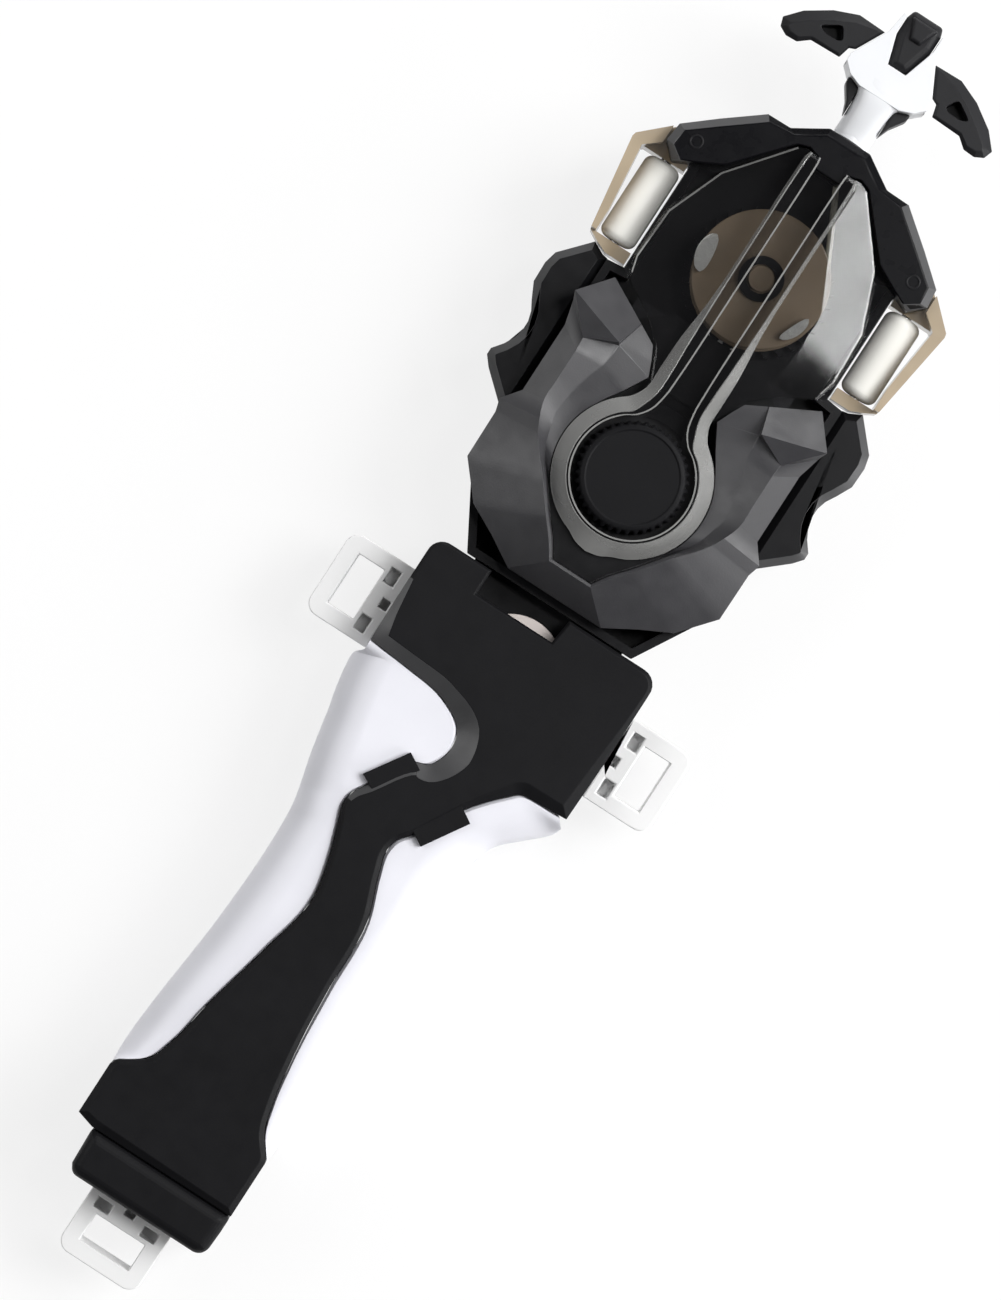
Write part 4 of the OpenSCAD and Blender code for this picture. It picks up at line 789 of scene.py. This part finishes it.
def core_highlight_strip():
    """Lighter strip of painted highlight on the core's chamfer, from the left side along the thumb's curve to
    the waist.
    """
    lower, upper = core_edges()
    return strip(lower[THUMB_SPAN], upper[THUMB_SPAN], 0.05)


def core_surface():
    """Upper half of the grip's core: a cap with a wall all round its outline, chamfered along its top edge,
    and two tabs that lap over the side panels."""
    outline, _ = core_outline()
    inside = inset(outline, CORE_WALL)
    rows = [at_height(inside, GRIP_TOP - 3.4), at_height(inside, GRIP_MID), at_height(outline, GRIP_MID),
            *core_edges()]
    tabs = [np.array([(-3.4, -85.4), (-6.6, -83.6), (-11.8, -91.6), (-8.6, -93.2)]),
            np.array([(0.8, -95), (4.2, -97), (9.5, -88.6), (6.2, -86.6)])]
    return joined(loft(np.stack(rows)), *[slab(tab, PANEL_HIGH + SIDE_GAP, GRIP_TOP - 0.2) for tab in tabs])


class TOPLAUNCHER_OT_case(bpy.types.Operator):
    """Finishes the case, its wings, cover, bezel and screws"""

    bl_idname = "toplauncher.case"
    bl_label = "Case"

    def execute(self, context):
        s = sizes()
        dress(["launcher_base", "launch_cup", "cup_roof", "left_wing", "right_wing", "knob_seat"],
              "case", s.case_edge)
        cover = add_piece(
            "ridged_cover", *cover_surface(), "cover", "launcher", "charcoal_cover", ["top_cover"],
            crease=11.0)
        bevel(cover, s.fine_edge, 2, 16.0)
        # Painted shade: a black sheet darkens the hollow behind the knob.
        add_piece("painted_shade_floor", *painted_shade_floor(), "case", "launcher", "black_case")
        bezel = add_piece(
            "front_bezel_skin", *bezel_surface(), "bezel", "launcher", "black_case", ["front_bezel"],
            crease=15.0)
        bevel(bezel, s.fine_edge, 2)
        add_piece("bezel_pegs", *peg_surface(), "case", "launcher", "black_case")
        # Painted highlight along the chamfers of the bezel's arms and the wings.
        add_piece("highlight_strips", *highlight_strips(), "edge", "launcher", "black_case")
        dress(["case_screws"], "steel", s.fine_edge)
        return {"FINISHED"}


class TOPLAUNCHER_OT_window(bpy.types.Operator):
    """Finishes the smoke window, the knob collar and the selector"""

    bl_idname = "toplauncher.window"
    bl_label = "Window and selector"

    def execute(self, context):
        s = sizes()
        pane = add_piece(
            "window_pane", *pane_surface(), "smoke", "launcher", "smoke_clear", ["smoke_window"], crease=2.0)
        bevel(pane, s.fine_edge, 2, 20.0)
        rim = add_piece("clear_rim", *rim_surface(), "smoke", "launcher", "smoke_clear", ["knob_collar"])
        bevel(rim, s.fine_edge)
        # Painted highlight: a light band and line on the clear rim.
        add_piece("rim_highlight_band", *highlight_band_surface(), "rim", "launcher", "smoke_clear")
        # Painted highlight: bright lines along the pane's brow.
        add_piece("pane_highlight_lines", *pane_highlight_lines(), "rim", "launcher", "smoke_clear")
        # Painted reflection: white crescents under the pane beside the reel.
        add_piece("pane_crescents", *glint_crescents(), "nylon", "launcher", "white_nylon")
        add_piece("knurled_knob", *knob_surface(), "knob", "selector", "black_knob", ["selector_knob"])
        dress(["selector_shaft", "detent_spring"], "steel")
        dress(["direction_slider"], "nylon")
        return {"FINISHED"}


class TOPLAUNCHER_OT_drive(bpy.types.Operator):
    """Finishes the cord reel, the gears and the launch chuck"""

    bl_idname = "toplauncher.drive"
    bl_label = "Reel drive and chuck"

    def execute(self, context):
        s = sizes()
        dress(["cord_reel"], "reel", s.fine_edge)
        dress(["reel_gear", "reel_ring"], "case")
        dress(["launch_chuck"], "case", s.fine_edge)
        dress(["bearing_plate"], "plate")
        add_piece("bearing_shield", *shield_surface(), "case", "launcher", "black_case")
        add_piece("axle_cap", *axle_cap(), "reel", "launcher", "brown_clear")
        dress(["reel_axle", "mainspring", "chuck_spindle"], "steel")
        add_spring("plunger_coil", "plunger_spring", 0.3, 4)
        dress(["upper_bush", "lower_bush"], "brass")
        dress(["chuck_gear"], "nylon")
        dress(["centre_plunger"], "nylon", s.fine_edge)
        dress(["cord_eyelet"], "cream", s.fine_edge)
        dress(["cord_winding", "cord_lead"], "cord")
        run = add_piece("cord_run", *cord_surface(), "cord", "", "cord", ["cord_end"])
        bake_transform(run)
        return {"FINISHED"}


class TOPLAUNCHER_OT_rollers(bpy.types.Operator):
    """Finishes the side rollers, their axles and brackets"""

    bl_idname = "toplauncher.rollers"
    bl_label = "Side rollers"

    def execute(self, context):
        s = sizes()
        dress(["left_bracket", "right_bracket"], "brown", s.case_edge)
        dress(["left_roller", "right_roller"], "roller")
        dress(["roller_axles"], "steel")
        return {"FINISHED"}


class TOPLAUNCHER_OT_handle(bpy.types.Operator):
    """Finishes the pull handle"""

    bl_idname = "toplauncher.handle"
    bl_label = "Pull handle"

    def execute(self, context):
        s = sizes()
        dress(["handle_hub"], "hub", s.hub_edge)
        add_piece("neck_flare", *neck_surface(), "hub", "handle", "white_plastic")
        bars = add_piece(
            "finger_bars", *bar_surface(), "handle", "handle", "black_handle", ["handle_bar"], crease=20.0)
        bevel(bars, s.case_edge)
        block = add_piece("cap_block", *cap_block(), "handle", "handle", "black_handle")
        bevel(block, s.fine_edge, 2)
        dress(["handle_cap", "handle_gussets"], "handle", s.case_edge)
        dress(["handle_screw"], "steel", s.fine_edge)
        return {"FINISHED"}


class TOPLAUNCHER_OT_grip(bpy.types.Operator):
    """Finishes the grip's core, panels, butt, loops and lock"""

    bl_idname = "toplauncher.grip"
    bl_label = "Grip"

    def execute(self, context):
        s = sizes()
        dress(["grip_lower_shell", "grip_end_cap"], "grip", s.grip_edge)
        core = add_piece(
            "grip_core", *core_surface(), "grip", "launcher", "black_grip", ["grip_upper_shell"], crease=13.0)
        bevel(core, s.fine_edge, angle=24.0)
        # Painted highlight on the core's chamfer along the thumb's curve.
        add_piece("thumb_chamfer_highlight", *core_highlight_strip(), "edge", "launcher", "black_grip")
        for node, edge in (("thumb_panel", THUMB_EDGE), ("finger_panel", FINGER_EDGE)):
            skin = add_piece(
                node + "_skin", *panel_surface(edge), "panel", "launcher", "white_plastic", [node],
                crease=30.0)
            skin.modifiers.new("shading", "WEIGHTED_NORMAL").keep_sharp = True
        dress(["left_loop", "right_loop", "butt_loop"], "loop", s.case_edge)
        dress(["lock_button"], "lock", s.fine_edge)
        dress(["grip_screws"], "steel", s.fine_edge)
        add_spring("lock_coil", "lock_spring", 0.35, 5)
        return {"FINISHED"}


VIEW_CENTRE = (-3.05, -59.2, 24.0)
VIEW_HEIGHT = 236.4
VIEW_TURN = 32.96
VIEW_DISTANCE = 1.0
SENSOR = 24.0


def add_camera():
    """Camera straight above, turned so that the object's long axis stands at 57 degrees in the frame."""
    data = bpy.data.cameras.new("plan_camera")
    data.sensor_fit = "VERTICAL"
    data.sensor_height = SENSOR
    data.lens = SENSOR * VIEW_DISTANCE / (VIEW_HEIGHT * MM)
    camera = bpy.data.objects.new("plan_camera", data)
    camera.location = (VIEW_CENTRE[0] * MM, VIEW_CENTRE[1] * MM, VIEW_CENTRE[2] * MM + VIEW_DISTANCE)
    camera.rotation_euler = (0.0, 0.0, math.radians(VIEW_TURN))
    bpy.context.scene.collection.objects.link(camera)
    bpy.context.scene.camera = camera


def add_lamp(name, place, aim, size, power):
    """Soft square lamp at a place, turned to face a point."""
    data = bpy.data.lights.new(name, "AREA")
    data.shape = "SQUARE"
    data.size = size
    data.energy = power
    lamp = bpy.data.objects.new(name, data)
    lamp.location = place
    away = np.array(place) - np.array(aim)
    flat = math.hypot(away[0], away[1])
    lamp.rotation_euler = (math.atan2(flat, away[2]), 0.0, math.atan2(away[0], -away[1]))
    bpy.context.scene.collection.objects.link(lamp)


def seen_rays(tree):
    """One for rays that show the backdrop: straight, mirrored or through clear plastic."""
    path = tree.nodes.new("ShaderNodeLightPath")
    total = path.outputs["Is Camera Ray"]
    for name in ("Is Glossy Ray", "Is Transmission Ray"):
        node = tree.nodes.new("ShaderNodeMath")
        node.operation = "MAXIMUM"
        tree.links.new(total, node.inputs[0])
        tree.links.new(path.outputs[name], node.inputs[1])
        total = node.outputs["Value"]
    return total


def floor_finish():
    """White paper that looks white straight on and still keeps a share of the object's shadow."""
    finish, tree, shader = new_finish("floor_paper")
    tree.links.new(drift(tree, noise(tree, 40.0), (0.86, 0.86, 0.86), 0.01), shader.inputs["Base Color"])
    shader.inputs["Roughness"].default_value = 0.9
    shader.inputs["Specular IOR Level"].default_value = 0.1
    glow = shader_node(tree, "ShaderNodeEmission", Strength=1.0)
    share = tree.nodes.new("ShaderNodeMath")
    share.operation = "MULTIPLY"
    share.inputs[1].default_value = 0.8
    tree.links.new(seen_rays(tree), share.inputs[0])
    mix = tree.nodes.new("ShaderNodeMixShader")
    tree.links.new(share.outputs["Value"], mix.inputs["Fac"])
    tree.links.new(shader.outputs["BSDF"], mix.inputs[1])
    tree.links.new(glow.outputs["Emission"], mix.inputs[2])
    tree.links.new(mix.outputs["Shader"], tree.nodes["Material Output"].inputs["Surface"])
    return finish


def add_world():
    """Soft room light: dim overhead and brighter towards the horizon, white where it is seen."""
    world = bpy.data.worlds.new("studio_room")
    bpy.context.scene.world = world
    world.use_nodes = True
    tree = world.node_tree
    background = tree.nodes["Background"]
    coords = tree.nodes.new("ShaderNodeTexCoord")
    split = tree.nodes.new("ShaderNodeSeparateXYZ")
    level = tree.nodes.new("ShaderNodeMapRange")
    for name, value in (("From Min", 0.15), ("From Max", 0.95), ("To Min", 0.5), ("To Max", 0.22)):
        level.inputs[name].default_value = value
    tree.links.new(coords.outputs["Generated"], split.inputs["Vector"])
    tree.links.new(split.outputs["Z"], level.inputs["Value"])
    white = tree.nodes.new("ShaderNodeMix")
    path = tree.nodes.new("ShaderNodeLightPath")
    tree.links.new(path.outputs["Is Camera Ray"], white.inputs["Factor"])
    tree.links.new(level.outputs["Result"], white.inputs["A"])
    white.inputs["B"].default_value = 1.0
    tree.links.new(white.outputs["Result"], background.inputs["Strength"])


FLOOR_REACH, FLOOR_Z = 3.0, -0.05 * MM
STAGE_MIDDLE = (0.0, -0.06, 0.02)
# Each lamp's name, place and aim in metres, size in metres and power in watts.
LAMPS = (
    ("key_softbox", (1.1, 0.9, 1.5), STAGE_MIDDLE, 1.1, 46.0),
    ("left_softbox", (-0.85, -0.2, 0.8), STAGE_MIDDLE, 0.8, 4.8),
    ("right_strip", (1.2, 0.1, 0.38), STAGE_MIDDLE, 0.7, 9.0),
    ("front_strip", (-0.35, 1.4, 0.45), STAGE_MIDDLE, 0.6, 6.0),
    ("facet_softbox", (0.25, 0.25, 1.2), (0.015, 0.033, 0.03), 0.2, 2.0),
)


class TOPLAUNCHER_OT_stage(bpy.types.Operator):
    """Adds the paper floor, the room light, the lamps and the camera"""

    bl_idname = "toplauncher.stage"
    bl_label = "Stage"

    def execute(self, context):
        mesh = bpy.data.meshes.new("floor")
        signs = ((-1, -1), (1, -1), (1, 1), (-1, 1))
        corners = [(x * FLOOR_REACH, y * FLOOR_REACH, FLOOR_Z) for x, y in signs]
        mesh.from_pydata(corners, [], [(0, 1, 2, 3)])
        mesh.materials.append(floor_finish())
        floor = bpy.data.objects.new("floor", mesh)
        context.scene.collection.objects.link(floor)
        add_world()
        for lamp in LAMPS:
            add_lamp(*lamp)
        add_camera()
        context.scene.view_settings.view_transform = "Standard"
        return {"FINISHED"}


class TOPLAUNCHER_PT_panel(bpy.types.Panel):
    """Lists the launcher's steps"""

    bl_idname = "TOPLAUNCHER_PT_panel"
    bl_label = "Spinning top launcher"
    bl_space_type = "VIEW_3D"
    bl_region_type = "UI"
    bl_category = "Launcher"

    def draw(self, context):
        for step in STEPS:
            self.layout.operator(step.bl_idname)


STEPS = (
    TOPLAUNCHER_OT_case,
    TOPLAUNCHER_OT_window,
    TOPLAUNCHER_OT_drive,
    TOPLAUNCHER_OT_rollers,
    TOPLAUNCHER_OT_handle,
    TOPLAUNCHER_OT_grip,
    TOPLAUNCHER_OT_stage,
)
CLASSES = (LauncherColours, LauncherSizes, *STEPS, TOPLAUNCHER_PT_panel)


def register():
    """Registers the classes and puts the settings on the scene."""
    for item in CLASSES:
        bpy.utils.register_class(item)
    bpy.types.Scene.launcher_colours = bpy.props.PointerProperty(type=LauncherColours)
    bpy.types.Scene.launcher_sizes = bpy.props.PointerProperty(type=LauncherSizes)


def unregister():
    """Takes the settings off the scene and unregisters the classes."""
    del bpy.types.Scene.launcher_sizes
    del bpy.types.Scene.launcher_colours
    for item in reversed(CLASSES):
        bpy.utils.unregister_class(item)


def main():
    """Runs each step in order."""
    register()
    for step in STEPS:
        group, name = step.bl_idname.split(".")
        getattr(getattr(bpy.ops, group), name)()


if __name__ == "__main__":
    main()
